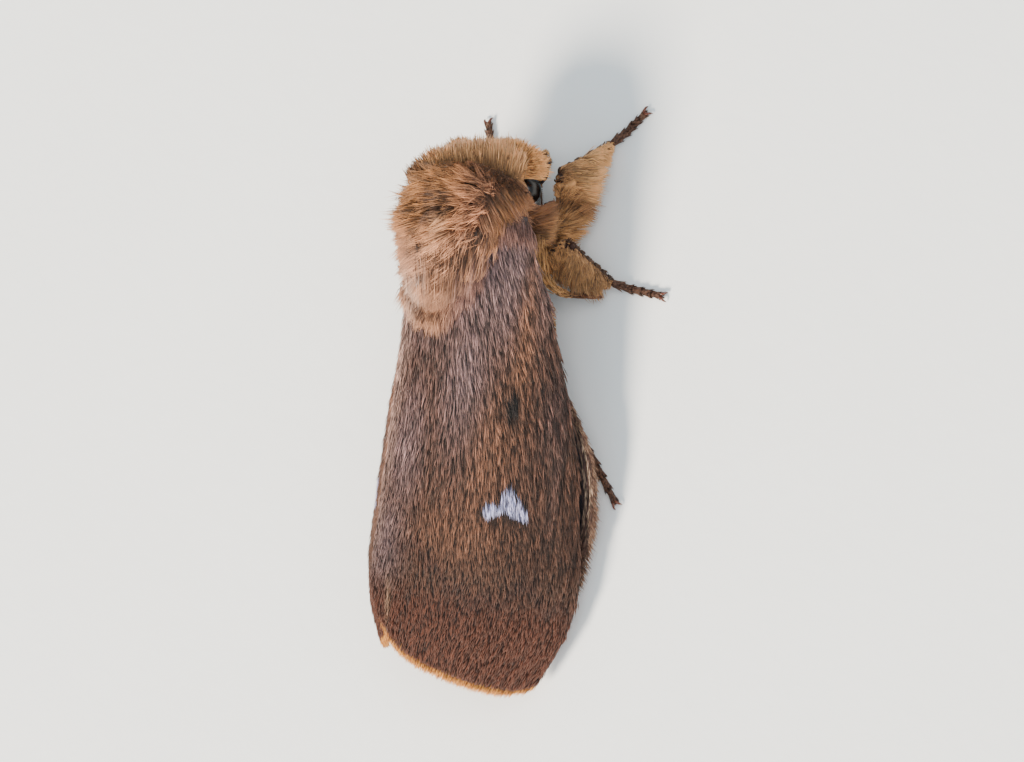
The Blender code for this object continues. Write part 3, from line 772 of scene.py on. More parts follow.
def spot_outline(across, ahead):
    """How far inside the pale spot a point lies: above 0 in it. Lobes and a peak, notched below."""
    inside = [1 - ((across - x) / rx) ** 2 - ((ahead - y) / ry) ** 2 for x, y, rx, ry in SPOT_LOBES]
    return np.max(inside, axis=0)


def marks(rows, across, ahead):
    """The strength of each soft mark of a table."""
    return [strength * bump(across, ahead, *place) for strength, *place in rows]


def forewing_colour(side, u, v):
    """Both wings take their markings from the place on the right one that answers to u, v."""
    across, ahead = back_plan(FOREWINGS[RIGHT].at(u, v))
    # Mauve over the upper left of the wing: partly the scales' own colour, partly painted sheen where they
    # face the light.
    base = smoothstep(-6.5, 1.0, ahead) * smoothstep(0.6, -0.6, across) * 0.8
    tint = mix(WING_BROWN, MAUVE, np.max([base, *marks(MAUVE_AND_SHEEN_MARKS, across, ahead)], axis=0))
    for mark in marks(TAN_MARKS, across, ahead):
        tint = mix(tint, TAN, mark)
    # Painted light: paler down the wing's left edge, which faces the light.
    tint = mix(tint, EDGE_LIGHT, 0.8 * smoothstep(-4.9, -5.9, across) * smoothstep(-16, -12, ahead))
    for mark in marks(DARK_MARKS, across, ahead):
        tint = mix(tint, WING_DARK, mark)
    tint = mix(tint, OUTER_BROWN, 0.9 * smoothstep(-14.6, -16.6, ahead))
    band = -13.3 - 2.3 * smoothstep(-3.9, -0.3, across) + 1.2 * bump(across, 0, 2.2, 0, 0.5, 1)
    off_band = (ahead - (band + 0.25 * np.sin(5 * across))) / 0.38
    tint = mix(tint, BAND_DARK, 0.7 * np.exp(-(off_band**2)) * smoothstep(-5.2, -3.6, across))
    tint = mix(tint, CREAM, 0.3 * bump(across + 0.12 * (ahead + 16.2), ahead, -4.36, -16.2, 0.12, 0.9))
    tint = mix(tint, SMUDGE, 1.3 * bump(across, ahead, 0.14, -6.05, 0.46, 0.9))
    inside = spot_outline(across - SPOT_SHIFT[side], ahead)
    near = smoothstep(-2.0, -0.8, -np.abs(across + 0.2))
    tint = mix(tint, SPOT_HALO, smoothstep(-1.25, -0.35, inside) * near)
    tint = mix(tint, SPOT_RIM, smoothstep(-0.95, -0.3, inside))
    return mix(tint, SPOT, smoothstep(-0.06, 0.14, inside))


def hindwing_colour(u, v):
    """Streaked where it shows past the forewing; near black beneath it as painted shade, which shows as a
    dark line along the forewing's edge.
    """
    streak = smoothstep(0.3, 0.9, 0.5 + 0.5 * np.sin(v * 70 + 2.5 * np.sin(u * 7)))
    shown = smoothstep(0.74, 0.84, v) * smoothstep(0.95, 0.55, u)
    tint = mix(HIND_BROWN, HIND_DARK, 0.8 * shown)
    tint = mix(tint, HIND_PALE, shown * streak)
    return mix(tint, HIND_UNDER_SHADE, smoothstep(0.87, 0.8, v))


BARE_THORAX = Trunk(THORAX, THORAX_COAT)
HEAD_OUTLINE = Ball(HEAD_CENTRE, HEAD_RADII)
SKULL = Ball(SKULL_CENTRE, SKULL_RADII)
BARE_ABDOMEN = Trunk(ABDOMEN, ABDOMEN_COAT)
ABDOMEN_OUTLINE = Trunk(ABDOMEN)
FOREWINGS = {side: Forewing(side) for side in SIDES}
HINDWINGS = {side: Hindwing(side) for side in SIDES}


# Materials

def fill(material, node, inputs):
    """Gives a node's inputs their values, or a link where the value is an output of another node."""
    for name, value in inputs.items():
        if isinstance(value, bpy.types.NodeSocket):
            material.node_tree.links.new(value, node.inputs[name])
        else:
            node.inputs[name].default_value = value


def add_node(material, kind, inputs=None):
    """A new node of a material, its inputs filled."""
    node = material.node_tree.nodes.new(f"ShaderNode{kind}")
    fill(material, node, inputs or {})
    return node


def scaled(material, colour, factor):
    """A colour, or the output of a node, times the output of another."""
    product = add_node(material, "VectorMath")
    product.operation = "SCALE"
    fill(material, product, {0: colour, "Scale": factor})
    return product.outputs["Vector"]


def surface_material(name, roughness, *, tinted=True, colour=(0.5, 0.5, 0.5), fleck=0.0, fleck_size=0.1,
                     relief=0.0, relief_size=0.05, sheen=0.0, coat_weight=0.0, stretch=(1, 1, 1)):
    """A Principled surface in the mesh's own tints, flecked and embossed by noise. Sizes in millimetres."""
    material = bpy.data.materials.new(name)
    material.use_nodes = True
    surface = material.node_tree.nodes["Principled BSDF"]
    fill(material, surface, {
        "Roughness": roughness, "Specular IOR Level": 0.3, "Base Color": (*colour, 1.0),
        "Sheen Weight": sheen, "Sheen Roughness": 0.5, "Sheen Tint": (1.0, 0.86, 0.74, 1.0),
        "Coat Weight": coat_weight, "Coat Roughness": 0.05,
    })
    place = add_node(material, "TexCoord").outputs["Object"]
    lay = add_node(material, "Mapping", {"Scale": stretch, "Vector": place}).outputs["Vector"]
    if fleck:
        noise = add_node(material, "TexNoise", {"Scale": 1 / (fleck_size * MM), "Detail": 3.0, "Vector": lay})
        ramp = add_node(material, "MapRange", {
            "From Min": 0.3, "From Max": 0.7, "To Min": 1 - fleck, "To Max": 1 + fleck,
            "Value": noise.outputs["Fac"],
        })
        if tinted:
            tint = add_node(material, "Attribute")
            tint.attribute_name = "Tint"
            colour = tint.outputs["Color"]
        fill(material, surface, {"Base Color": scaled(material, colour, ramp.outputs["Result"])})
    if relief:
        grain = add_node(material, "TexNoise", {
            "Scale": 1 / (relief_size * MM), "Detail": 4.0, "Vector": lay,
        })
        emboss = add_node(material, "Bump", {
            "Strength": 0.6, "Distance": relief * MM, "Height": grain.outputs["Fac"],
        })
        fill(material, surface, {"Normal": emboss.outputs["Normal"]})
    return material


def eye_material():
    """Near black and glossy, with its facets as fine cells."""
    dark = (0.006, 0.004, 0.004)
    material = surface_material("eye_facets", 0.24, tinted=False, colour=dark, coat_weight=0.15)
    nodes = material.node_tree.nodes
    cells = add_node(material, "TexVoronoi", {
        "Scale": 1 / (0.045 * MM), "Vector": nodes["Texture Coordinate"].outputs["Object"],
    })
    emboss = add_node(material, "Bump", {
        "Strength": 0.35, "Distance": 0.012 * MM, "Height": cells.outputs["Distance"],
    })
    emboss.invert = True
    shade = add_node(material, "MapRange", {"To Min": 0.3, "To Max": 1.6, "Value": cells.outputs["Distance"]})
    facets = scaled(material, (0.007, 0.005, 0.0045), shade.outputs["Result"])
    fill(material, nodes["Principled BSDF"], {"Normal": emboss.outputs["Normal"], "Base Color": facets})
    return material


# Pieces

def add_object(name, data):
    """An object in the scene."""
    thing = bpy.data.objects.new(name, data)
    bpy.context.scene.collection.objects.link(thing)
    return thing


def piece(name, points, groups, material, slot, replaces=(), tints=None, patch=None):
    """One object of the moth from points in millimetres and a list of arrays of faces, each of one kind."""
    mesh = bpy.data.meshes.new(name)
    corners = np.concatenate([np.asarray(g).ravel() for g in groups]).astype(np.int32)
    sides = np.concatenate([np.full(len(g), np.shape(g)[1]) for g in groups])
    mesh.vertices.add(len(points))
    mesh.vertices.foreach_set("co", (points * MM + ORIGIN).ravel())
    mesh.loops.add(len(corners))
    mesh.loops.foreach_set("vertex_index", corners)
    mesh.polygons.add(len(sides))
    mesh.polygons.foreach_set("loop_start", np.concatenate(([0], np.cumsum(sides)[:-1])).astype(np.int32))
    mesh.update(calc_edges=True)
    mesh.validate()
    mesh.shade_smooth()
    if tints is not None:
        paint(mesh, tints)
    if patch is not None:
        layer = mesh.uv_layers.new(name="OFBake")
        layer.uv.foreach_set("vector", patch[corners].ravel())
    mesh.materials.append(material)
    adopt(add_object(name, mesh), slot, replaces)


def paint(mesh, tints):
    """Stores a tint for each point."""
    layer = mesh.attributes.new("Tint", "FLOAT_COLOR", "POINT")
    layer.data.foreach_set("color", np.column_stack((np.clip(tints, 0, 1), np.ones(len(tints)))).ravel())


def adopt(thing, slot, replaces=()):
    """Lets a piece ride on the moth's one body, in place of these CAD nodes; its slot is not used."""
    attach(thing, "root")
    if replaces:
        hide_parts(*replaces)


def hairy_piece(name, sets, material, slot="coat"):
    """One object of spikes."""
    made = joined(sets)
    piece(name, made["points"], [made["faces"]], material, slot, tints=made["tints"], patch=made["patch"])


def lattice(rows, columns, closed=False):
    """Quads of a grid of points, rows by columns, the columns joined up where closed."""
    r, c = np.meshgrid(np.arange(rows - 1), np.arange(columns if closed else columns - 1), indexing="ij")
    this, after = c.ravel(), (c.ravel() + 1) % columns
    near, far = r.ravel() * columns, (r.ravel() + 1) * columns
    return np.column_stack((near + this, near + after, far + after, far + this))


def shell(surface, rows, columns):
    """Points and faces of a closed tube over a surface, with a fan at each end."""
    u = np.repeat(np.linspace(0.0, 1.0, rows), columns)
    v = np.tile(np.arange(columns) / columns, rows)
    points = surface.at(u, v)
    ends = np.array((points[:columns].mean(0), points[-columns:].mean(0)))
    k = np.arange(columns)
    first, last = rows * columns, rows * columns + 1
    base = (rows - 1) * columns
    caps = np.vstack((
        np.column_stack((np.full(columns, first), (k + 1) % columns, k)),
        np.column_stack((np.full(columns, last), base + k, base + (k + 1) % columns)),
    ))
    return np.vstack((points, ends)), [lattice(rows, columns, closed=True), caps]


def merged(shells):
    """Points and groups of faces of several shells as one."""
    points, groups, base = [], [], 0
    for one, faces in shells:
        points.append(one)
        groups += [group + base for group in faces]
        base += len(one)
    return np.vstack(points), groups


def legs_of(side):
    """Each pair's name with what LEGS says of its leg on this side."""
    for pair in ("fore", "mid", "hind"):
        yield pair, LEGS[pair, side]


def rod(start, end, side, fan, radius):
    """A bare limb from one point to another."""
    return Limb([(*start, 1, 1, 0), (*end, 1, 1, 0)], side, fan, radius)


def palp_limb(side, fan, half_width, half_thickness):
    """A palp, with fur of this half width and half thickness."""
    return Limb([(*p, half_width, half_thickness, 0.0) for p in PALP_PATH], side, fan, PALP_BONE)


def bones():
    """The bare forms under the coat, as closed tubes that overlap into one body."""
    yield from ((BARE_THORAX, 50, 48), (SKULL, 24, 36), (BARE_ABDOMEN, 60, 40))
    for side in SIDES:
        yield palp_limb(side, (1, 0, 0), 0.2, 0.2), 14, 12
        for _, (thigh, shin, _, fan, hip) in legs_of(side):
            yield rod(hip, thigh[0][:3], side, fan, HIP_BONE), 10, 14
            yield Limb(thigh, side, fan, FEMUR_BONE), 20, 14
            yield rod(thigh[-1][:3], shin[0][:3], side, fan, TIBIA_BONE), 6, 14
            yield Limb(shin, side, fan, TIBIA_BONE), 20, 14
    yield rod((0, -4.9, 3.9), (0, -3.6, 4.8), LEFT, (1, 0, 0), 1.2), 8, 24
    yield rod((0, 0.4, 4.2), (0, 1.8, 3.4), LEFT, (1, 0, 0), 1.3), 8, 24


def build_skin(material):
    """One closed skin over head, thorax, abdomen, palps and legs."""
    points, groups = merged(shell(*bone) for bone in bones())
    raw = bpy.data.meshes.new("skin")
    raw.from_pydata(points.tolist(), [], [face for group in groups for face in group.tolist()])
    shape = add_object("skin", raw)
    remesh = shape.modifiers.new("one_skin", "REMESH")
    remesh.mode = "VOXEL"
    remesh.voxel_size = 0.11
    smooth = shape.modifiers.new("smooth", "SMOOTH")
    smooth.factor = 0.6
    smooth.iterations = 3
    graph = bpy.context.evaluated_depsgraph_get()
    mesh = bpy.data.meshes.new_from_object(shape.evaluated_get(graph))
    shape.modifiers.clear()
    shape.data = mesh
    mesh.name = "skin"
    points = np.empty(len(mesh.vertices) * 3)
    mesh.vertices.foreach_get("co", points)
    points = points.reshape(-1, 3)
    points[:, 2] = np.maximum(points[:, 2], 0.05)
    mesh.vertices.foreach_set("co", (points * MM + ORIGIN).ravel())
    mesh.update()
    mesh.shade_smooth()
    tints = mix(body_colour(points), abdomen_colour(points), BARE_ABDOMEN.out(points) < 1.15)
    # The skin takes the fur's colours at 0.42 of their brightness: partly its own darker cuticle, partly
    # painted shade where it shows between the hairs. The legs' skin is umber.
    paint(mesh, mix(tints, UMBER, (np.abs(points[:, 0]) > 2.2) & (points[:, 2] < 3.1)) * 0.42)
    mesh.materials.clear()
    mesh.materials.append(material)
    flesh = ["head", "thorax", "abdomen"]
    for side in SIDES.values():
        flesh.append(f"palp_{side}")
        flesh += [f"{bone}_{pair}_{side}" for bone in ("femur", "tibia") for pair in ("fore", "mid", "hind")]
    adopt(shape, "coat", flesh)


# Body fur

# Tufts given as guides on the right: the root, middle and tip of hairs that the others lie between.
BROW = (
    ((-1.18, -5.41, 4.5), (-0.74, -6.36, 5.2), (-0.29, -7.02, 5.0)),
    ((-1.22, -5.52, 4.5), (-1.32, -6.58, 5.2), (-1.0, -7.13, 4.9)),
    ((-1.33, -5.59, 4.5), (-1.87, -6.56, 5.1), (-1.81, -7.04, 4.8)),
    ((-1.38, -5.6, 4.4), (-2.37, -6.44, 4.9), (-2.6, -6.75, 4.6)),
    ((-1.45, -5.56, 4.4), (-2.61, -6.13, 4.8), (-3.16, -6.29, 4.4)),
    ((-1.47, -5.46, 4.4), (-2.55, -5.73, 4.7), (-3.24, -5.85, 4.3)),
    ((-1.45, -5.3, 4.5), (-2.49, -5.46, 4.8), (-3.1, -5.36, 4.5)),
    ((-1.36, -5.13, 4.6), (-2.18, -5.25, 5.0), (-2.73, -5.18, 4.8)),
)
TEMPLE = (
    ((-1.2, -5.1, 5.6), (-1.55, -5.8, 5.5), (-1.6, -6.5, 5.1)),
    ((-1.45, -5.0, 5.5), (-1.9, -5.6, 5.4), (-2.15, -6.15, 4.9)),
    ((-1.6, -4.9, 5.3), (-2.1, -5.35, 5.25), (-2.55, -5.75, 4.8)),
)
CHEEK = (
    ((-1.29, -4.99, 4.9), (-2.04, -5.07, 5.1), (-2.38, -5.05, 4.7)),
    ((-1.28, -4.77, 5.0), (-2.03, -4.76, 5.1), (-2.54, -4.82, 4.6)),
    ((-1.26, -4.57, 5.0), (-2.02, -4.47, 5.0), (-2.7, -4.55, 4.5)),
    ((-1.24, -4.32, 4.9), (-2.07, -4.18, 4.9), (-2.8, -4.28, 4.3)),
    ((-1.21, -4.08, 4.8), (-2.04, -3.89, 4.7), (-2.88, -4.06, 4.0)),
)
FLANK = (
    ((-1.42, -3.44, 4.3), (-2.22, -3.66, 4.1), (-2.96, -4.11, 3.6)),
    ((-1.51, -3.26, 4.2), (-2.34, -3.59, 3.9), (-3.25, -4.42, 3.3)),
    ((-1.6, -3.07, 4.1), (-2.42, -3.42, 3.7), (-3.36, -4.01, 3.0)),
    ((-1.7, -2.79, 4.0), (-2.54, -3.05, 3.5), (-3.3, -3.31, 2.8)),
    ((-1.83, -2.41, 3.9), (-2.71, -2.47, 3.4), (-3.14, -2.45, 2.6)),
)
COLLAR = (
    ((2.76, -4.0, 6.6), (3.48, -4.43, 6.4), (4.19, -4.69, 5.9)),
    ((2.14, -4.67, 6.8), (2.79, -5.11, 6.6), (3.5, -5.37, 6.1)),
    ((1.4, -5.06, 6.9), (1.96, -5.62, 6.7), (2.63, -5.99, 6.1)),
    ((0.57, -5.22, 6.9), (1.02, -5.89, 6.7), (1.67, -6.38, 6.0)),
    ((-0.22, -5.28, 6.8), (0.27, -6.1, 6.6), (1.0, -6.68, 5.8)),
    ((-0.95, -5.24, 6.6), (-0.43, -6.22, 6.3), (0.27, -6.96, 5.5)),
    ((-1.5, -5.14, 6.3), (-1.16, -6.18, 6.1), (-0.58, -6.98, 5.4)),
    ((-1.94, -4.97, 6.0), (-1.92, -5.99, 5.9), (-1.53, -6.8, 5.3)),
    ((-2.47, -5.16, 5.75), (-2.48, -5.88, 5.7), (-2.35, -6.52, 5.15)),
)
NAPE = (
    ((-1.66, -5.22, 6.2), (-2.28, -5.13, 5.9), (-2.65, -4.83, 5.2)),
    ((-1.67, -5.01, 5.8), (-2.48, -4.61, 5.7), (-2.97, -3.77, 5.1)),
    ((-1.74, -4.83, 6.2), (-2.6, -4.23, 6.2), (-3.2, -3.14, 5.7)),
    ((-1.52, -4.47, 6.5), (-2.45, -3.87, 6.6), (-3.17, -2.79, 6.1)),
    ((-1.55, -4.14, 6.8), (-2.38, -3.43, 6.9), (-3.06, -2.44, 6.45)),
    ((-1.51, -3.81, 7.0), (-2.3, -2.99, 7.2), (-2.89, -1.88, 6.85)),
    ((-1.46, -3.48, 7.2), (-2.23, -2.54, 7.5), (-2.63, -1.41, 7.15)),
)
CURLS = (
    ((1.96, -4.48, 7.0), (1.62, -4.8, 7.3), (1.24, -5.05, 7.3)),
    ((1.09, -4.79, 7.0), (0.75, -5.1, 7.4), (0.35, -5.26, 7.4)),
    ((0.07, -4.88, 6.9), (-0.22, -5.19, 7.3), (-0.63, -5.29, 7.3)),
    ((-0.77, -4.88, 6.5), (-1.12, -5.18, 7.0), (-1.49, -5.18, 7.0)),
    ((-1.32, -4.69, 6.0), (-1.73, -5.0, 6.5), (-2.05, -4.94, 6.5)),
    ((-1.77, -4.43, 5.6), (-2.25, -4.7, 6.1), (-2.52, -4.58, 6.1)),
    ((-2.07, -4.26, 5.1), (-2.55, -4.49, 5.5), (-2.76, -4.32, 5.4)),
)
MANE = (
    ((2.16, -1.49, 7.3), (1.66, -0.31, 7.6), (1.25, 1.05, 7.55)),
    ((1.31, -1.45, 7.8), (0.77, -0.08, 8.1), (0.44, 1.58, 7.85)),
    ((0.2, -1.26, 8.1), (-0.26, 0.17, 8.35), (-0.26, 1.89, 7.8)),
    ((-0.86, -1.51, 8.0), (-1.1, -0.2, 8.25), (-0.93, 1.5, 7.8)),
    ((-1.62, -1.94, 7.7), (-1.69, -0.72, 7.9), (-1.5, 0.8, 7.65)),
    ((-2.05, -2.35, 7.2), (-2.21, -1.33, 7.5), (-2.13, -0.0, 7.45)),
)
THIGH_TUFT = (
    ((-2.95, -6.01, 2.7), (-4.27, -6.02, 2.2), (-4.8, -6.47, 1.4)),
    ((-2.84, -5.6, 2.6), (-4.04, -5.59, 2.2), (-4.61, -5.8, 1.3)),
    ((-2.72, -5.2, 2.4), (-3.82, -5.07, 2.0), (-4.49, -5.08, 1.2)),
    ((-2.66, -4.75, 2.2), (-3.66, -4.51, 1.8), (-4.38, -4.37, 1.1)),
    ((-2.61, -4.31, 2.0), (-3.53, -3.9, 1.7), (-4.15, -3.59, 1.0)),
)
SHIN_TUFT = (
    ((-3.7, -2.38, 2.5), (-3.24, -1.13, 2.2), (-3.32, -0.26, 1.9)),
    ((-4.33, -2.27, 2.4), (-3.8, -1.02, 2.0), (-3.86, -0.16, 1.5)),
    ((-4.64, -1.83, 2.1), (-4.26, -0.75, 1.7), (-4.35, -0.05, 1.2)),
    ((-4.93, -1.49, 1.8), (-4.7, -0.58, 1.4), (-4.83, 0.0, 0.8)),
    ((-5.16, -1.14, 1.5), (-4.93, -0.5, 1.0), (-4.89, 0.17, 0.5)),
)
SWIRL = np.array((-2.3, -4.35, 5.4))  # from which the fur of the thorax runs outwards
FOREHEAD = np.array((1.57, -6.18, 4.39))  # the same for the tuft between the eyes, on each side


def from_eyes(points):
    """Distance from the nearer eye's centre."""
    return np.min([np.linalg.norm(points - EYE_CENTRE * (side, 1, 1), axis=1) for side in SIDES], axis=0)


def thorax_flow(points):
    """Away from the swirl, standing out on the far flank and in front."""
    x, y, z = points.T
    heading = points - SWIRL
    near = np.exp(-(np.linalg.norm(heading, axis=1) / 1.2) ** 2)
    stand = smoothstep(1.0, 2.6, x) * smoothstep(3.2, 4.6, z)
    stand = np.maximum(stand, smoothstep(-4.0, -5.2, y) * smoothstep(4.3, 5.3, z))
    gap = parting(points)
    by_groove = bump(*back_plan(points), -4.5, 2.7, 0.5, 1.0)
    low = 0.75 + 0.65 * stand + 0.3 * near
    high = 0.3 + 0.95 * stand + 0.2 * near + 0.6 * by_groove
    length = 2.5 - 0.1 * stand - 0.9 * smoothstep(4.6, 3.2, z)
    length *= 1 - 0.5 * bump(gap, 0, 0, 0, 0.35, 1)
    length *= 1 - 0.55 * by_groove
    wanted = (np.abs(gap) > 0.1) & (groove(points) < 0.45) & (from_eyes(points) > EYE_RADIUS + 0.05)
    return heading, low, high, length, wanted


def thorax_reach(points):
    """How far out of the outline of thorax and head, looser where the fur trails over the wings."""
    x, y, z = points.T
    trailing = smoothstep(-2.2, 0.0, y) * smoothstep(4.2, 3.0, np.abs(x)) * smoothstep(5.5, 6.5, z)
    drawn_in = 0.3 * smoothstep(-2.2, -0.5, y) * smoothstep(1.2, 2.8, x)
    round_thorax = COAT_OUTLINE.out(points) * (1 - 0.35 * trailing + drawn_in)
    return np.minimum(round_thorax, HEAD_OUTLINE.out(points) + 0.05)


def in_eye_corner(points, side):
    """Whether points would hide the open corner of an eye, as it is seen from over the back."""
    away = points - EYE_CENTRE * (side, 1, 1)
    right = away @ (side * math.cos(SLANT), 0.0, -math.sin(SLANT))
    outward = away @ (side * math.sin(SLANT), 0.0, math.cos(SLANT))
    ahead = -away[:, 1]
    past_cheek = 0.785 * (right + 0.1) + 0.62 * (ahead - 0.49) > -0.07
    behind_brow = ahead < 0.51 + 0.04 * right
    return past_cheek & behind_brow & (ahead > -0.66) & (outward > -0.4) & (np.hypot(right, ahead) < 1.25)


def cleared(rows):
    """Drops hairs over the open corner of an eye, the parting, the groove or too much of a wing.

    Those that lie beside the groove are darkened as painted shade.
    """
    points, first, last, length, width, tint, patch, tips = rows
    bend = points + first * column(length * 0.5)
    past_line = 0.5 + 0.9 * ((points[:, 0] * 997) % 1)
    by_groove = np.maximum(groove((points + tips) / 2), groove(tips))
    good = (over_wing(tips) < past_line) | (points[:, 2] < 4.4)
    good &= (tips[:, 2] < COAT_TOP) & (by_groove < 0.55)
    good &= (parting(points) > 0) | (parting(tips) < 0.15) | (points[:, 2] < 5.0)
    for side in SIDES:
        for along in ((points + bend) / 2, bend, (bend + tips) / 2, tips):
            good &= ~in_eye_corner(along, side)
    # Painted shade: hairs beside the groove are darkened.
    tint = mix(tint, DARK_BROWN, np.minimum(by_groove * 1.7, 0.85))
    return keep(good, points, first, last, length, width, tint, patch, tips)


def head_flow(points):
    """Out from the tuft over each eye, short on the face."""
    heading = points - FOREHEAD * np.where(points[:, :1] < 0, (-1.0, 1.0, 1.0), 1.0)
    far = smoothstep(0.2, 1.5, np.linalg.norm(heading, axis=1))
    face = smoothstep(3.6, 2.4, points[:, 2])
    low = 1.2 - 0.35 * far - 0.5 * face
    high = 0.85 - 0.45 * far - 0.4 * face
    return heading, low, high, 1.65 - 0.8 * face, (from_eyes(points) > EYE_RADIUS) & (points[:, 1] < -4.6)


def within(rows, reach):
    """Drops hairs that stand out of an outline."""
    points, first, _, length, *_, tips = rows
    bend = points + first * column(length * 0.5)
    return keep(np.maximum(reach(bend), reach(tips)) < 1.04, *rows)


def abdomen_flow(points):
    """Straight back, with a tuft at the tip."""
    heading = (0.0, 1.0, 0.0) + 0.15 * drift(points, 2.0, 31)
    tuft = smoothstep(13.4, 15.0, points[:, 1])
    return heading, 0.45 + 0.2 * tuft, 0.12 + 0.1 * tuft, 0.8 + 0.5 * tuft, np.ones(len(points), bool)


def from_axis(height):
    """A direction for each point: away from a line along y at this height."""
    def away(points):
        return (points - (0, 0, height)) * (1, 0, 1)
    return away


def between(guides, count, rng, colour, region, side=RIGHT, *,
            stray=0.13, reach=1.0, curl=0.0, ends=(0.72, 1.04)):
    """Rows, as coat() gives them, of hairs that lie between guides, mirrored for the left side."""
    table = smooth_rows(np.array(guides).reshape(len(guides), 9), 50)
    t = rng.uniform(0, 1, count)
    root, middle, tip = np.hsplit(rows_at(table, t) * np.tile((-side, 1, 1), 3), 3)
    pull = 2 * middle - (root + tip) / 2

    def on_arc(f):
        return root * (1 - f) ** 2 + 2 * pull * f * (1 - f) + tip * f**2

    start, end = rng.uniform(0.0, 0.6, (count, 1)) * reach, rng.uniform(*ends, (count, 1)) * reach
    off, bend = rng.normal(size=(2, count, 3)) * np.reshape((stray, curl), (2, 1, 1))
    a, b, c = on_arc(start) + off, on_arc((start + end) / 2) + off + bend, on_arc(end) + off * 1.3 - bend
    lock = lock_of(a, max(1, count // 9), rng)
    c = mix(c, c[lock], 0.45)
    tint = colour((b + c) / 2) * np.exp(rng.normal(0, 0.26, (count, 1)) + 0.22 * drift(a, 0.35, 83)[:, :1])
    first, last, patch = b - a, c - b, placed(region, t, start[:, 0])
    length, widths = 2 * np.linalg.norm(first, axis=1), np.full(count, HAIR_WIDTH)
    return a, unit(first), unit(last), length, widths, tint, patch, c


def thorax_weight(points):
    return 0.4 + 0.6 * smoothstep(3.8, 5.2, points[:, 2])


def skull_weight(points):
    return 0.3 + smoothstep(-4.6, -5.4, points[:, 1])


def build_thorax_fur(rng, material):
    for number in (1, 2, 3):
        rows = coat(
            BARE_THORAX, 14000, rng, thorax_flow, body_colour, from_axis(5.2),
            width=0.047, out=thorax_reach, limit=(0.72, 1.17), weight=thorax_weight,
        )
        hairy_piece(f"coat_thorax_{number}", [combed(cleared(rows), rng, over_wings=True)], material)


def build_head_fur(rng, material):
    rows = coat(
        SKULL, 10500, rng, head_flow, head_colour, lambda points: points - SKULL_CENTRE,
        width=0.045, out=HEAD_OUTLINE.out, limit=(0.8, 1.0), locks=10, weight=skull_weight,
    )
    sets = [combed(cleared(rows), rng)]
    for side, share in SIDE_SHARE.items():
        brow_reach = 1.0 if side == RIGHT else 0.66
        brow = between(BROW, 2300, rng, head_colour, (0.3, 0.3, 0.7, 0.5), side, reach=brow_reach)
        sets.append(combed(cleared(brow), rng))
        temple = between(TEMPLE, 900, rng, head_colour, (0.3, 0.5, 0.5, 0.6), side)
        sets.append(combed(cleared(temple), rng))
        palp = palp_limb(side, (0, -0.3, -1), 0.46, 0.4)
        sets.append(combed(limb_rows(palp, 700, rng, (0.8, 0.8, 0.95, 0.95)), rng))
        cheek = between(CHEEK, int(1500 * share), rng, body_colour, (0.3, 0.5, 0.7, 0.6), side)
        sets.append(combed(cleared(cheek), rng))
    hairy_piece("coat_head", sets, material)


def build_collar_fur(rng, material):
    """The collar, the mane behind it, the curls under it, and the hairs of nape and flank."""
    sets = [combed(between(COLLAR, 4200, rng, body_colour, (0.05, 0.2, 0.15, 0.4), ends=(0.7, 1.1)), rng)]
    mane = between(MANE, 3000, rng, body_colour, (0.5, 0.2, 0.7, 0.4), stray=0.18, ends=(0.6, 1.3))
    sets.append(combed(within(mane, thorax_reach), rng, over_wings=True))
    curls = between(CURLS, 1300, rng, curl_colour, (0.3, 0.1, 0.5, 0.2), stray=0.15, curl=0.13)
    sets.append(combed(curls, rng))
    for side, share in SIDE_SHARE.items():
        nape = between(NAPE, int(2200 * share), rng, body_colour, (0.7, 0.2, 0.9, 0.4), side)
        flank = between(FLANK, int(2000 * share), rng, leg_colour, (0.2, 0.6, 0.4, 0.9), side)
        sets += [combed(cleared(rows), rng) for rows in (nape, flank)]
    hairy_piece("coat_collar", sets, material)


def build_abdomen_fur(rng, material):
    rows = coat(
        BARE_ABDOMEN, 4200, rng, abdomen_flow, abdomen_colour, from_axis(3.0),
        width=0.1, out=ABDOMEN_OUTLINE.out, limit=(0.9, 1.0), locks=10,
    )
    hairy_piece("coat_abdomen", [combed(rows, rng)], material)


def build_body_fur(material):
    rng = np.random.default_rng(11)
    for build in (build_thorax_fur, build_head_fur, build_collar_fur, build_abdomen_fur):
        build(rng, material)


# Legs

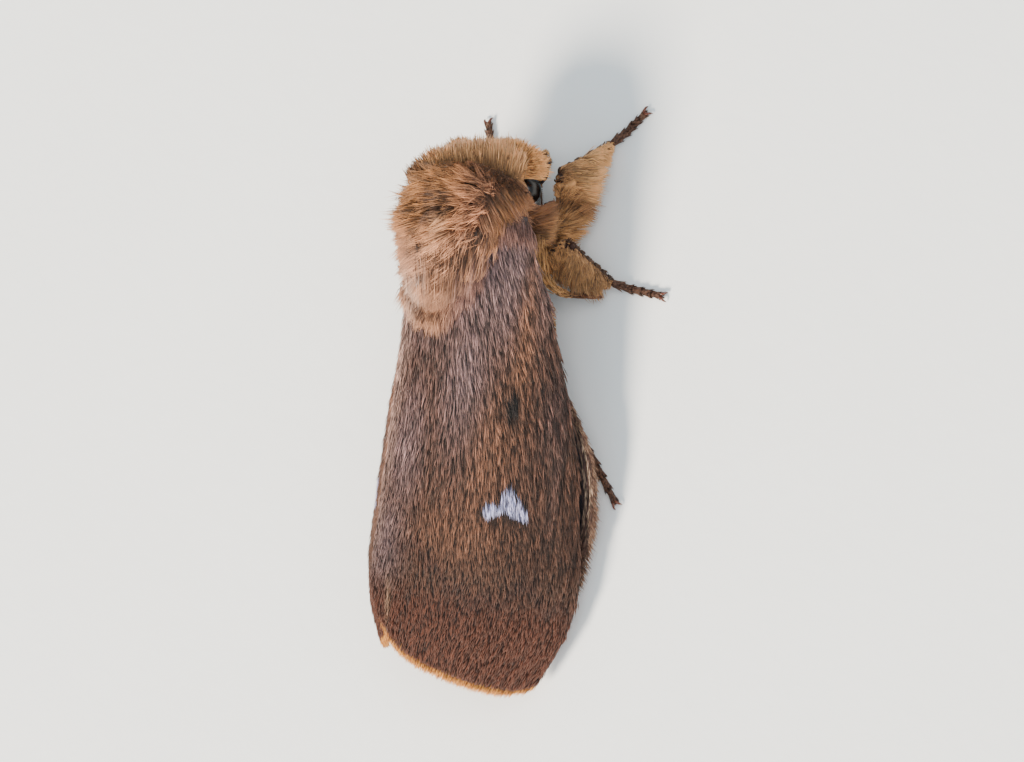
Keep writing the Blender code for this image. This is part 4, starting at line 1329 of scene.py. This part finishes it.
def limb_rows(limb, count, rng, region):
    """Rows of fur that hangs back from the bone and down the leg; the leading edge stays short."""
    u, v = scatter(limb, count, rng, cells=(30, 24))
    back = np.cos(v * 2 * math.pi)
    stub = np.linalg.norm(limb.path[-1] - limb.path[0]) < 1.5
    u, v, back = keep(back > 0.1 if stub else (back > -0.55) | (np.sin(u * 40) > 0.2), u, v, back)
    points = limb.at(u, v)
    along, across, depth = limb.axes(u)
    n = ring_point(0, across, depth, v * 2 * math.pi)
    wide, _, offset = rows_at(limb.fur, u).T
    heading = across * column(0.35 + 0.65 * np.maximum(back, 0)) + along * 0.62
    heading = unit(heading + 0.3 * drift(points, 0.7, 41) + rng.normal(size=points.shape) * 0.1)
    first = unit(heading + n * math.sin(0.8))
    last = unit(heading + n * (math.sin(0.25) * 0.4))
    length = np.maximum((wide + offset) * np.where(back > -0.25, 1.0, 0.25) * 1.15, 0.3)
    length = length * rng.uniform(0.65, 1.1, len(length))
    bound = rng.uniform(0.9, 1.05, len(length))
    length, tips = held_in(points, first + last, length, limb.out, bound, rounds=6, share=0.85)
    lock = lock_of(points, max(1, len(points) // 12), rng)
    tips = mix(tips, tips[lock], 0.35)
    tint = leg_colour(points) * np.exp(rng.normal(0, 0.22, (len(points), 1)))
    tint = mix(tint, DARK_BROWN * 1.3, (back < -0.55) * 0.85)
    return points, first, last, length, np.full(len(points), HAIR_WIDTH), tint, placed(region, u, v), tips


FLANK_TUFT = (
    (1.6, -3.2, 3.2, 0.85, 0.85, 0.0), (2.0, -3.7, 2.5, 0.85, 0.8, 0.0), (2.35, -4.1, 2.1, 0.6, 0.55, 0.1),
)
BAND_PATH = (
    (3.16, -2.45, 4.3), (3.06, -1.39, 3.6), (3.18, -0.41, 2.8),
    (3.58, -0.01, 2.2), (4.09, 0.02, 1.6), (5.18, -0.09, 0.8),
)
# Hairs on hip, thigh, shin, knee and flank of each pair of legs, and the tufts of each side with their hairs
LEG_HAIRS = {
    "fore": (850, 2900, 2450, 600, 1100),
    "mid": (850, 1750, 2450, 450, 300),
    "hind": (400, 900, 1100, 250, 200),
}
LEG_TUFTS = {RIGHT: ((THIGH_TUFT, 1900), (SHIN_TUFT, 1300)), LEFT: ()}


def band_hairs(side, rng):
    """The pale swept edge of long hairs behind the middle leg, which ends in a brown point."""
    path = smooth_rows(np.array(BAND_PATH) * (side, 1, 1), 60)
    count = 1500
    u = rng.uniform(0.0, 0.86, count)
    reach = rng.uniform(0.1, 0.2, count)
    start, middle, end = (rows_at(path, np.minimum(u + k * reach, 1)) for k in (0, 0.5, 1))
    stray = rng.normal(size=(count, 3)) * column(0.13 * (1 - 0.75 * u))
    patch = np.column_stack((0.02 + 0.96 * u, rng.uniform(0.955, 0.995, count)))
    tint = mix(SWEPT_PALE, SWEPT_TIP, smoothstep(0.72, 0.95, u + reach)) * rng.uniform(0.85, 1.15, (count, 1))
    length, tip = np.linalg.norm(end - start, axis=1), end + stray * 0.6
    return strands(start + stray, middle - start, end - middle, length, 0.05, tint, patch, rng, tip=tip)


def build_leg_fur(material):
    rng = np.random.default_rng(23)
    for side, share in SIDE_SHARE.items():
        sets = [band_hairs(side, rng)]
        for guides, number in LEG_TUFTS[side]:
            sets.append(combed(between(guides, number, rng, leg_colour, (0.7, 0.7, 0.95, 0.95)), rng))
        for row, (pair, (thigh, shin, _, fan, hip)) in enumerate(legs_of(side)):
            hip_fur = ((*hip, 0.9, 0.9, 0.0), (*thigh[0][:3], 0.95, 0.9, 0.2))
            knee = ((*thigh[-2][:3], *thigh[-1][3:]), (*shin[0][:3], 0.5, 0.42, 0.1))
            flank = FLANK_TUFT if pair == "fore" else hip_fur
            forms = (
                (hip_fur, HIP_BONE), (thigh, FEMUR_BONE), (shin, TIBIA_BONE), (knee, TIBIA_BONE),
                (flank, 0.35),
            )
            for col, ((stations, bone), number) in enumerate(zip(forms, LEG_HAIRS[pair])):
                region = (0.02 + 0.33 * row, 0.02 + 0.185 * col, 0.3 + 0.33 * row, 0.19 + 0.185 * col)
                limb = Limb(stations, side, fan, bone)
                sets.append(combed(limb_rows(limb, int(number * share), rng, region), rng))
        hairy_piece(f"coat_legs_{SIDES[side]}", sets, material)


def foot_path(path, shin, side, count=41):
    """From inside the end of the shin, down to the floor and along it."""
    start, bend, end = (np.array(p) * (side, 1, 1) for p in (shin[-1][:3], *path[1:]))
    first, second = np.linalg.norm(bend - start), np.linalg.norm(end - bend)
    travel = np.linspace(0, first + second, count)
    near = start + (bend - start) * column(np.clip(travel / first, 0, 1))
    return near + (end - bend) * column(np.clip((travel - first) / second, 0, 1))


class Foot:
    """Five joints, each swelling to its far end, lying on the floor."""

    def __init__(self, path, shin, side):
        self.path = foot_path(path, shin, side)
        self.along = unit(np.gradient(self.path, axis=0))

    def at(self, u, v):
        centre, along = rows_at(self.path, u), unit(rows_at(self.along, u))
        across = unit(np.cross(along, UP))
        joint = (u * TARSOMERES) % 1
        radius = TARSUS_RADIUS * (0.62 + 0.38 * joint ** 0.7) * (1 - 0.25 * u)
        radius = radius * np.minimum(1, np.minimum(u, 1 - u) * 22 + 0.35)
        p = ring_point(centre, across, np.cross(across, along), v * 2 * math.pi, radius)
        p[:, 2] = np.maximum(p[:, 2], 0.0)
        return p


def hook(root, heading, turn):
    """A claw that bends down to the floor, turned to one side of the heading."""
    angle = math.radians(30 * turn)
    ahead = unit(heading * (1, 1, 0))
    out = np.array((
        ahead[0] * math.cos(angle) - ahead[1] * math.sin(angle),
        ahead[0] * math.sin(angle) + ahead[1] * math.cos(angle), 0.0,
    ))
    steps = ((0.02, 0.02), (0.22, 0.1), (0.4, 0.03), (0.47, -0.13))  # out, up
    stations = [(*(root + out * far + UP * up), 1, 1, 0) for far, up in steps]
    return Limb(stations, LEFT, (0, 0, 1), (0.085, 0.075, 0.05, 0.012), count=16)


def build_tarsus(foot, pair, label, material):
    """A foot's skin, paler at the end of each joint."""
    rows, columns = 76, 14
    points, groups = shell(foot, rows, columns)
    joint = np.repeat((np.linspace(0, 1, rows) * TARSOMERES) % 1, columns)
    shade = 0.75 + 0.5 * np.append(joint, (0.5, 0.5))
    piece(f"tarsus_skin_{pair}_{label}", points, groups, material, "shell", (f"tarsus_{pair}_{label}",),
          tints=linear(70, 46, 36) * column(shade))


def build_claws(foot, pair, label, material):
    hooks = [hook(foot.path[-1], foot.path[-1] - foot.path[-8], turn) for turn in (-1, 1)]
    points, groups = merged(shell(claw, 14, 8) for claw in hooks)
    points[:, 2] = np.maximum(points[:, 2], 0.0)
    tints = np.tile(linear(96, 50, 34), (len(points), 1))
    piece(f"claws_{pair}_{label}", points, groups, material, "shell", tints=tints)


def foot_scales(foot, row, rng):
    """Scales that stand up at the end of each joint."""
    u, v = scatter(foot, 900, rng, cells=(50, 12))
    roots = foot.at(u, v)
    roots, u, v = keep(roots[:, 2] > 0.03, roots, u, v)
    along = unit(rows_at(foot.along, u))
    n = unit(roots - rows_at(foot.path, u))
    end = smoothstep(0.45, 0.95, (u * TARSOMERES) % 1)
    tint = mix(linear(64, 42, 34), linear(124, 88, 66), rng.uniform(0, 0.7, len(u)))
    patch = np.column_stack((0.02 + 0.33 * row + 0.28 * u, 0.02 + 0.96 * v))
    made = scales(roots, along, n, rng.uniform(0.2, 0.34, len(u)), 0.075, 0.14 + 0.22 * end, tint, patch)
    made["points"][:, 2] = np.maximum(made["points"][:, 2], 0.0)
    return made


def build_feet(skin_material, claw_material):
    rng = np.random.default_rng(37)
    for side, label in SIDES.items():
        sets = []
        for row, (pair, (_, shin, path, _, _)) in enumerate(legs_of(side)):
            foot = Foot(path, shin, side)
            build_tarsus(foot, pair, label, skin_material)
            build_claws(foot, pair, label, claw_material)
            sets.append(foot_scales(foot, row, rng))
        hairy_piece(f"scales_feet_{label}", sets, skin_material)


# Head parts

def build_eyes(material):
    for side, label in SIDES.items():
        eye = Ball(EYE_CENTRE * (side, 1, 1), (EYE_RADIUS - 0.02,) * 3)
        piece(f"eye_lens_{label}", *shell(eye, 48, 64), material, "eye", (f"eye_{label}",))


def feeler_comb(shaft, rng):
    """Teeth down each side of a feeler, each with its own bristles."""
    teeth, bristles = 50, 14
    u = np.repeat((np.arange(teeth) + 0.5) / teeth, 2)
    sign = np.tile((-1.0, 1.0), teeth)
    along, across, depth = shaft.axes(u)
    wide = rows_at(shaft.fur, u)[:, 0]
    roots = rows_at(shaft.path, u)
    heading = unit(across * column(sign) + depth * 0.45 + along * 0.3)
    tip = unit(across * column(sign) + depth * 0.05 + along * 0.55)
    tints = np.tile(linear(58, 48, 46), (len(u), 1))
    patch = np.column_stack((0.02 + 0.96 * u, 0.25 + 0.25 * (sign + 1)))
    sets = [strands(roots, heading, tip, wide, 0.05, tints, patch, rng)]
    k = np.repeat(np.arange(len(u)), bristles)
    place = np.tile(np.linspace(0.15, 0.95, bristles), len(u))
    middle = roots + heading * column(wide * 0.5)
    end = middle + tip * column(wide * 0.5)
    lower, upper = mix(roots[k], middle[k], place * 2), mix(middle[k], end[k], place * 2 - 1)
    spot = np.where(column(place) < 0.5, lower, upper)
    bristle = unit(along[k] + heading[k] * 0.5 + rng.normal(size=(len(k), 3)) * 0.25)
    sets.append(strands(spot, bristle, bristle, 0.11, 0.014, tints[k] * 1.2, patch[k], rng))
    return sets


def build_feelers(shaft_material, comb_material):
    """A shaft of many joints with a comb down each side."""
    rng = np.random.default_rng(43)
    rows, columns, joints = 120, 10, 44
    for side, label in SIDES.items():
        stations = [(*p, w, 0.26, 0.0) for p, w in zip(FEELER_PATH, FEELER_WIDTHS)]
        shaft = Limb(stations, side, FEELER_FAN, tuple(np.linspace(0.075, 0.035, len(stations))), count=80)
        rings = 0.8 + 0.35 * np.sin(np.linspace(0, 1, rows) * 2 * math.pi * joints)
        tint = linear(104, 76, 58) * column(np.append(np.repeat(rings, columns), (1, 1)))
        piece(f"feeler_{label}", *shell(shaft, rows, columns), shaft_material, "shell",
              (f"antenna_{label}",), tints=tint)
        hairy_piece(f"feeler_comb_{label}", feeler_comb(shaft, rng), comb_material, "shell")


# Wings

def build_membrane(wing, rows, columns, material):
    """A thin closed sheet under a wing's scales."""
    u = np.repeat(np.linspace(0, 1, rows), columns)
    v = np.tile(np.linspace(0, 1, columns), rows)
    quads = lattice(rows, columns)
    count = rows * columns
    grid = np.arange(count).reshape(rows, columns)
    rim = np.concatenate((grid[0, :-1], grid[:-1, -1], grid[-1, :0:-1], grid[:0:-1, 0]))
    after = np.roll(rim, -1)
    edge = np.column_stack((rim, rim + count, after + count, after))
    faces = np.vstack((quads, quads[:, ::-1] + count, edge))
    points = np.vstack((wing.at(u, v), wing.at(u, v, SCALE_DEPTH + MEMBRANE)))
    # Painted shade: the top face takes the wing's colours at 0.3 of their brightness, dark where it shows
    # between the scales.
    tints = np.vstack((wing.colour(u, v) * 0.3, np.tile(linear(132, 104, 88), (count, 1))))
    piece(f"{wing.kind}_membrane_{wing.label}", points, [faces], material, wing.kind,
          (f"{wing.kind}_{wing.label}",), tints=tints)


def wing_scales(wing, count, rng, *, length, width, lift, shade=1.0, contrast=0.25):
    """Hair-like scales that fan from the wing's base, shorter and closer towards its outer margin."""
    u, v = scatter(wing, count, rng, cells=(90, 60))
    roots = wing.at(u, v)
    n, along = normals(wing, u, v)
    sway = 0.5 * drift(roots, 2.2, 51)[:, :1] + 0.8 * drift(roots, 0.5, 52)[:, :1]
    along = unit(along + np.cross(n, along) * (0.16 * sway + rng.normal(0, 0.07, (len(u), 1))))
    outer = smoothstep(0.45, 0.8, u)
    pale = (wing.colour(u, v)[:, 2] > 0.35).astype(float)
    size = rng.uniform(0.75, 1.25, len(u)) * (1 - 0.38 * outer) * (1 - 0.35 * pale)
    reach = np.minimum(length * size, (1 - u) * wing.span + 0.1)
    middle = np.clip(u + WIDEST * reach / wing.span, 0, 1)
    streak = drift(np.column_stack((v * 80, u * 13, u * 0)), 1.0, 53)[:, 0]
    calm = 1 - 0.6 * outer
    glint = np.exp((0.46 * streak + rng.normal(0.0, contrast, len(u))) * calm)
    tint = wing.colour(middle, v) * shade * column(glint)
    rise = lift * rng.uniform(0.4, 1.2, len(u)) * (1 + 0.7 * np.clip(streak, -1, 1))
    return scales(roots, along, n, reach, width * size ** 0.3, rise, tint, placed(WHOLE, u, v))


def fringe(wing, count, rng):
    """Long scales that stand out from a forewing's outer margin."""
    v = rng.uniform(0.0, 1.0, count)
    u = np.clip(1 - rng.uniform(0, 1, count) ** 1.5 * 0.012, 0, 1)
    roots = wing.at(u, v)
    n, along = normals(wing, u, v)
    out = along + 0.3 * np.cross(along, n) * column(np.where(v > 0.8, (v - 0.8) * 5 * wing.side, 0))
    heading = unit(out + n * column(rng.uniform(-0.14, 0.06, count)) + rng.normal(size=(count, 3)) * 0.1)
    tint = mix(linear(140, 80, 32), linear(208, 146, 70), rng.uniform(0, 1, count))
    if wing.side == RIGHT:
        tint = mix(tint, wing.colour(u - 0.03, v), smoothstep(0.8, 0.9, v))
    patch = np.column_stack((np.full(count, 0.985), 0.02 + 0.96 * v))
    length = rng.uniform(0.42, 0.66, count)
    roots = roots - n * column(rng.uniform(0.0, 0.2, count))
    return strands(roots, heading, heading - n * 0.08, length, 0.05, tint, patch, rng)


def hind_fringe(wing, count, rng):
    """The soft edge of a hindwing."""
    u, v = rng.uniform(0.12, 1.0, count), np.full(count, 0.995)
    roots = wing.at(u, v) - column(rng.uniform(0.0, 0.3, count)) * (wing.side, 0, 0)
    n, _ = normals(wing, u, v - 0.01)
    heading = unit(np.array((wing.side * 0.75, 0.75, -0.1)) + rng.normal(size=(count, 3)) * 0.12)
    tint = mix(linear(82, 54, 42), linear(150, 118, 94), rng.uniform(0, 1, count) ** 2)
    patch = np.column_stack((0.02 + 0.96 * u, 0.96 + 0.03 * rng.uniform(0, 1, count)))
    length = rng.uniform(0.35, 0.75, count) * smoothstep(0.05, 0.3, u)
    return strands(roots - n * 0.05, heading, heading, length, 0.045, tint, patch, rng)


def base_tuft(wing, count, rng):
    """Fur that trails from the thorax over the start of a forewing."""
    u, v = rng.uniform(0.0, 0.03, count), rng.uniform(0.0, 1.0, count)
    roots = wing.at(u, v, 0.25)
    n, along = normals(wing, u, v)
    heading = along + 0.5 * unit(roots - SWIRL) + 0.25 * drift(roots, 0.8, 5)
    heading = unit(heading + rng.normal(size=roots.shape) * 0.12)
    length = rng.uniform(0.8, 1.6, count)
    first = unit(heading + n * column(rng.uniform(0.2, 0.75, count)))
    last = unit(heading + n * 0.02)
    tips = roots + (first + last) * column(length * 0.5)
    tips = mix(tips, tips[lock_of(roots, count // 10, rng)], 0.4)
    tint = body_colour(tips) * np.exp(rng.normal(0, 0.3, (count, 1)))
    patch = np.column_stack((np.full(count, 0.01), 0.02 + 0.96 * v))
    return strands(roots, first, last, length, 0.045, tint, patch, rng, tip=tips)


def build_wings(membrane_material, scale_material, fringe_material):
    rng = np.random.default_rng(61)
    for side, label in SIDES.items():
        wing, hind = FOREWINGS[side], HINDWINGS[side]
        build_membrane(wing, 130, 72, membrane_material)
        # Painted shade: the under layer takes the wing's colours at 0.42 of their brightness, dark in the
        # gaps between the scales over it.
        under = wing_scales(wing, 6500, rng, length=0.6, width=0.09, lift=0.06, shade=0.42)
        hairy_piece(f"scales_forewing_under_{label}", [under], scale_material, "forewing")
        over = wing_scales(wing, 21500, rng, length=0.95, width=0.058, lift=0.13, contrast=0.36)
        hairy_piece(f"scales_forewing_over_{label}", [over], scale_material, "forewing")
        hairy_piece(f"fringe_{label}", [fringe(wing, 3200, rng)], fringe_material, "forewing")
        hairy_piece(f"coat_wing_base_{label}", [base_tuft(wing, 2000, rng)], fringe_material)
        build_membrane(hind, 80, 30, membrane_material)
        share = SIDE_SHARE[side]
        made = wing_scales(hind, int(5000 * share), rng, length=0.8, width=0.06, lift=0.08)
        edge = hind_fringe(hind, int(1500 * share), rng)
        hairy_piece(f"scales_hindwing_{label}", [made, edge], scale_material, "hindwing")


# Stage

LENS = 300.0
SENSOR_WIDTH = 36.0
FRAME_WIDTH = 51.2  # millimetres across the picture at the moth
ROLL = math.radians(9)
AIM = np.array((0.0, 4.71, 0.0))
LIT_POINT = Vector((0.0, 0.0, 0.003))  # metres
FLOOR_HALF = 1.5  # metres


def build_camera():
    """Looks down on the back from the right, with the head towards the top of the picture."""
    away = np.array((-math.sin(SLANT), 0.0, math.cos(SLANT)))
    lateral = np.array((-math.cos(SLANT), 0.0, -math.sin(SLANT)))
    ahead = np.array((0.0, -1.0, 0.0))
    right = math.cos(ROLL) * lateral + math.sin(ROLL) * ahead
    top = -math.sin(ROLL) * lateral + math.cos(ROLL) * ahead
    data = bpy.data.cameras.new("camera")
    data.lens = LENS
    data.sensor_width = SENSOR_WIDTH
    data.clip_start, data.clip_end = 0.02, 10.0
    camera = add_object("camera", data)
    place = (AIM + away * FRAME_WIDTH * LENS / SENSOR_WIDTH) * MM + ORIGIN
    turn = np.column_stack((right, top, away))
    camera.matrix_world = Matrix([(*turn[k], place[k]) for k in range(3)] + [(0, 0, 0, 1)])
    bpy.context.scene.camera = camera


def area_light(name, place, size, power, colour):
    data = bpy.data.lights.new(name, "AREA")
    data.shape = "DISK"
    data.size = size
    data.energy = power
    data.color = colour
    light = add_object(name, data)
    light.location = place
    light.rotation_mode = "QUATERNION"
    light.rotation_quaternion = (Vector(place) - LIT_POINT).to_track_quat("Z", "Y")


def build_stage():
    material = surface_material("floor", 0.9, tinted=False, colour=(0.96, 0.945, 0.91), fleck=0.012,
                                fleck_size=14.0, relief=0.05, relief_size=1.2)
    mesh = bpy.data.meshes.new("floor")
    corners = [(x * FLOOR_HALF, y * FLOOR_HALF, 0) for x, y in ((-1, -1), (1, -1), (1, 1), (-1, 1))]
    mesh.from_pydata(corners, [], [(0, 1, 2, 3)])
    mesh.materials.append(material)
    add_object("floor", mesh)
    area_light("key", (0.22, 0.46, 0.46), 0.24, 13.2, (1.0, 0.905, 0.78))
    area_light("fill", (-0.45, -0.10, 0.60), 0.6, 3.5, (0.93, 0.96, 1.0))
    world = bpy.data.worlds.new("world")
    world.use_nodes = True
    sky = world.node_tree.nodes["Background"]
    sky.inputs["Color"].default_value = (0.71, 0.88, 1.0, 1.0)
    sky.inputs["Strength"].default_value = 0.8
    bpy.context.scene.world = world


def main():
    skin = surface_material("skin", 0.7, fleck=0.25, fleck_size=0.12, relief=0.04, relief_size=0.09)
    fur = surface_material("fur", 0.62, fleck=0.10, fleck_size=0.5, sheen=0.1)
    leg_fur = surface_material("leg_fur", 0.6, fleck=0.12, fleck_size=0.4, sheen=0.1)
    membrane = surface_material("membrane", 0.6, fleck=0.3, fleck_size=0.12, relief=0.03, relief_size=0.08,
                                stretch=(1, 0.2, 1))
    scale = surface_material("wing_scales", 0.55, fleck=0.14, fleck_size=0.18, sheen=0.1)
    edge = surface_material("fringe", 0.6, fleck=0.12, fleck_size=0.1, sheen=0.05)
    chitin = surface_material("chitin", 0.42, fleck=0.22, fleck_size=0.06, relief=0.02, relief_size=0.05)
    claw = surface_material("claw", 0.3, fleck=0.15, fleck_size=0.08, coat_weight=0.3)
    build_skin(skin)
    build_eyes(eye_material())
    build_feelers(chitin, leg_fur)
    build_wings(membrane, scale, edge)
    build_body_fur(fur)
    build_leg_fur(leg_fur)
    build_feet(chitin, claw)
    build_camera()
    build_stage()


main()
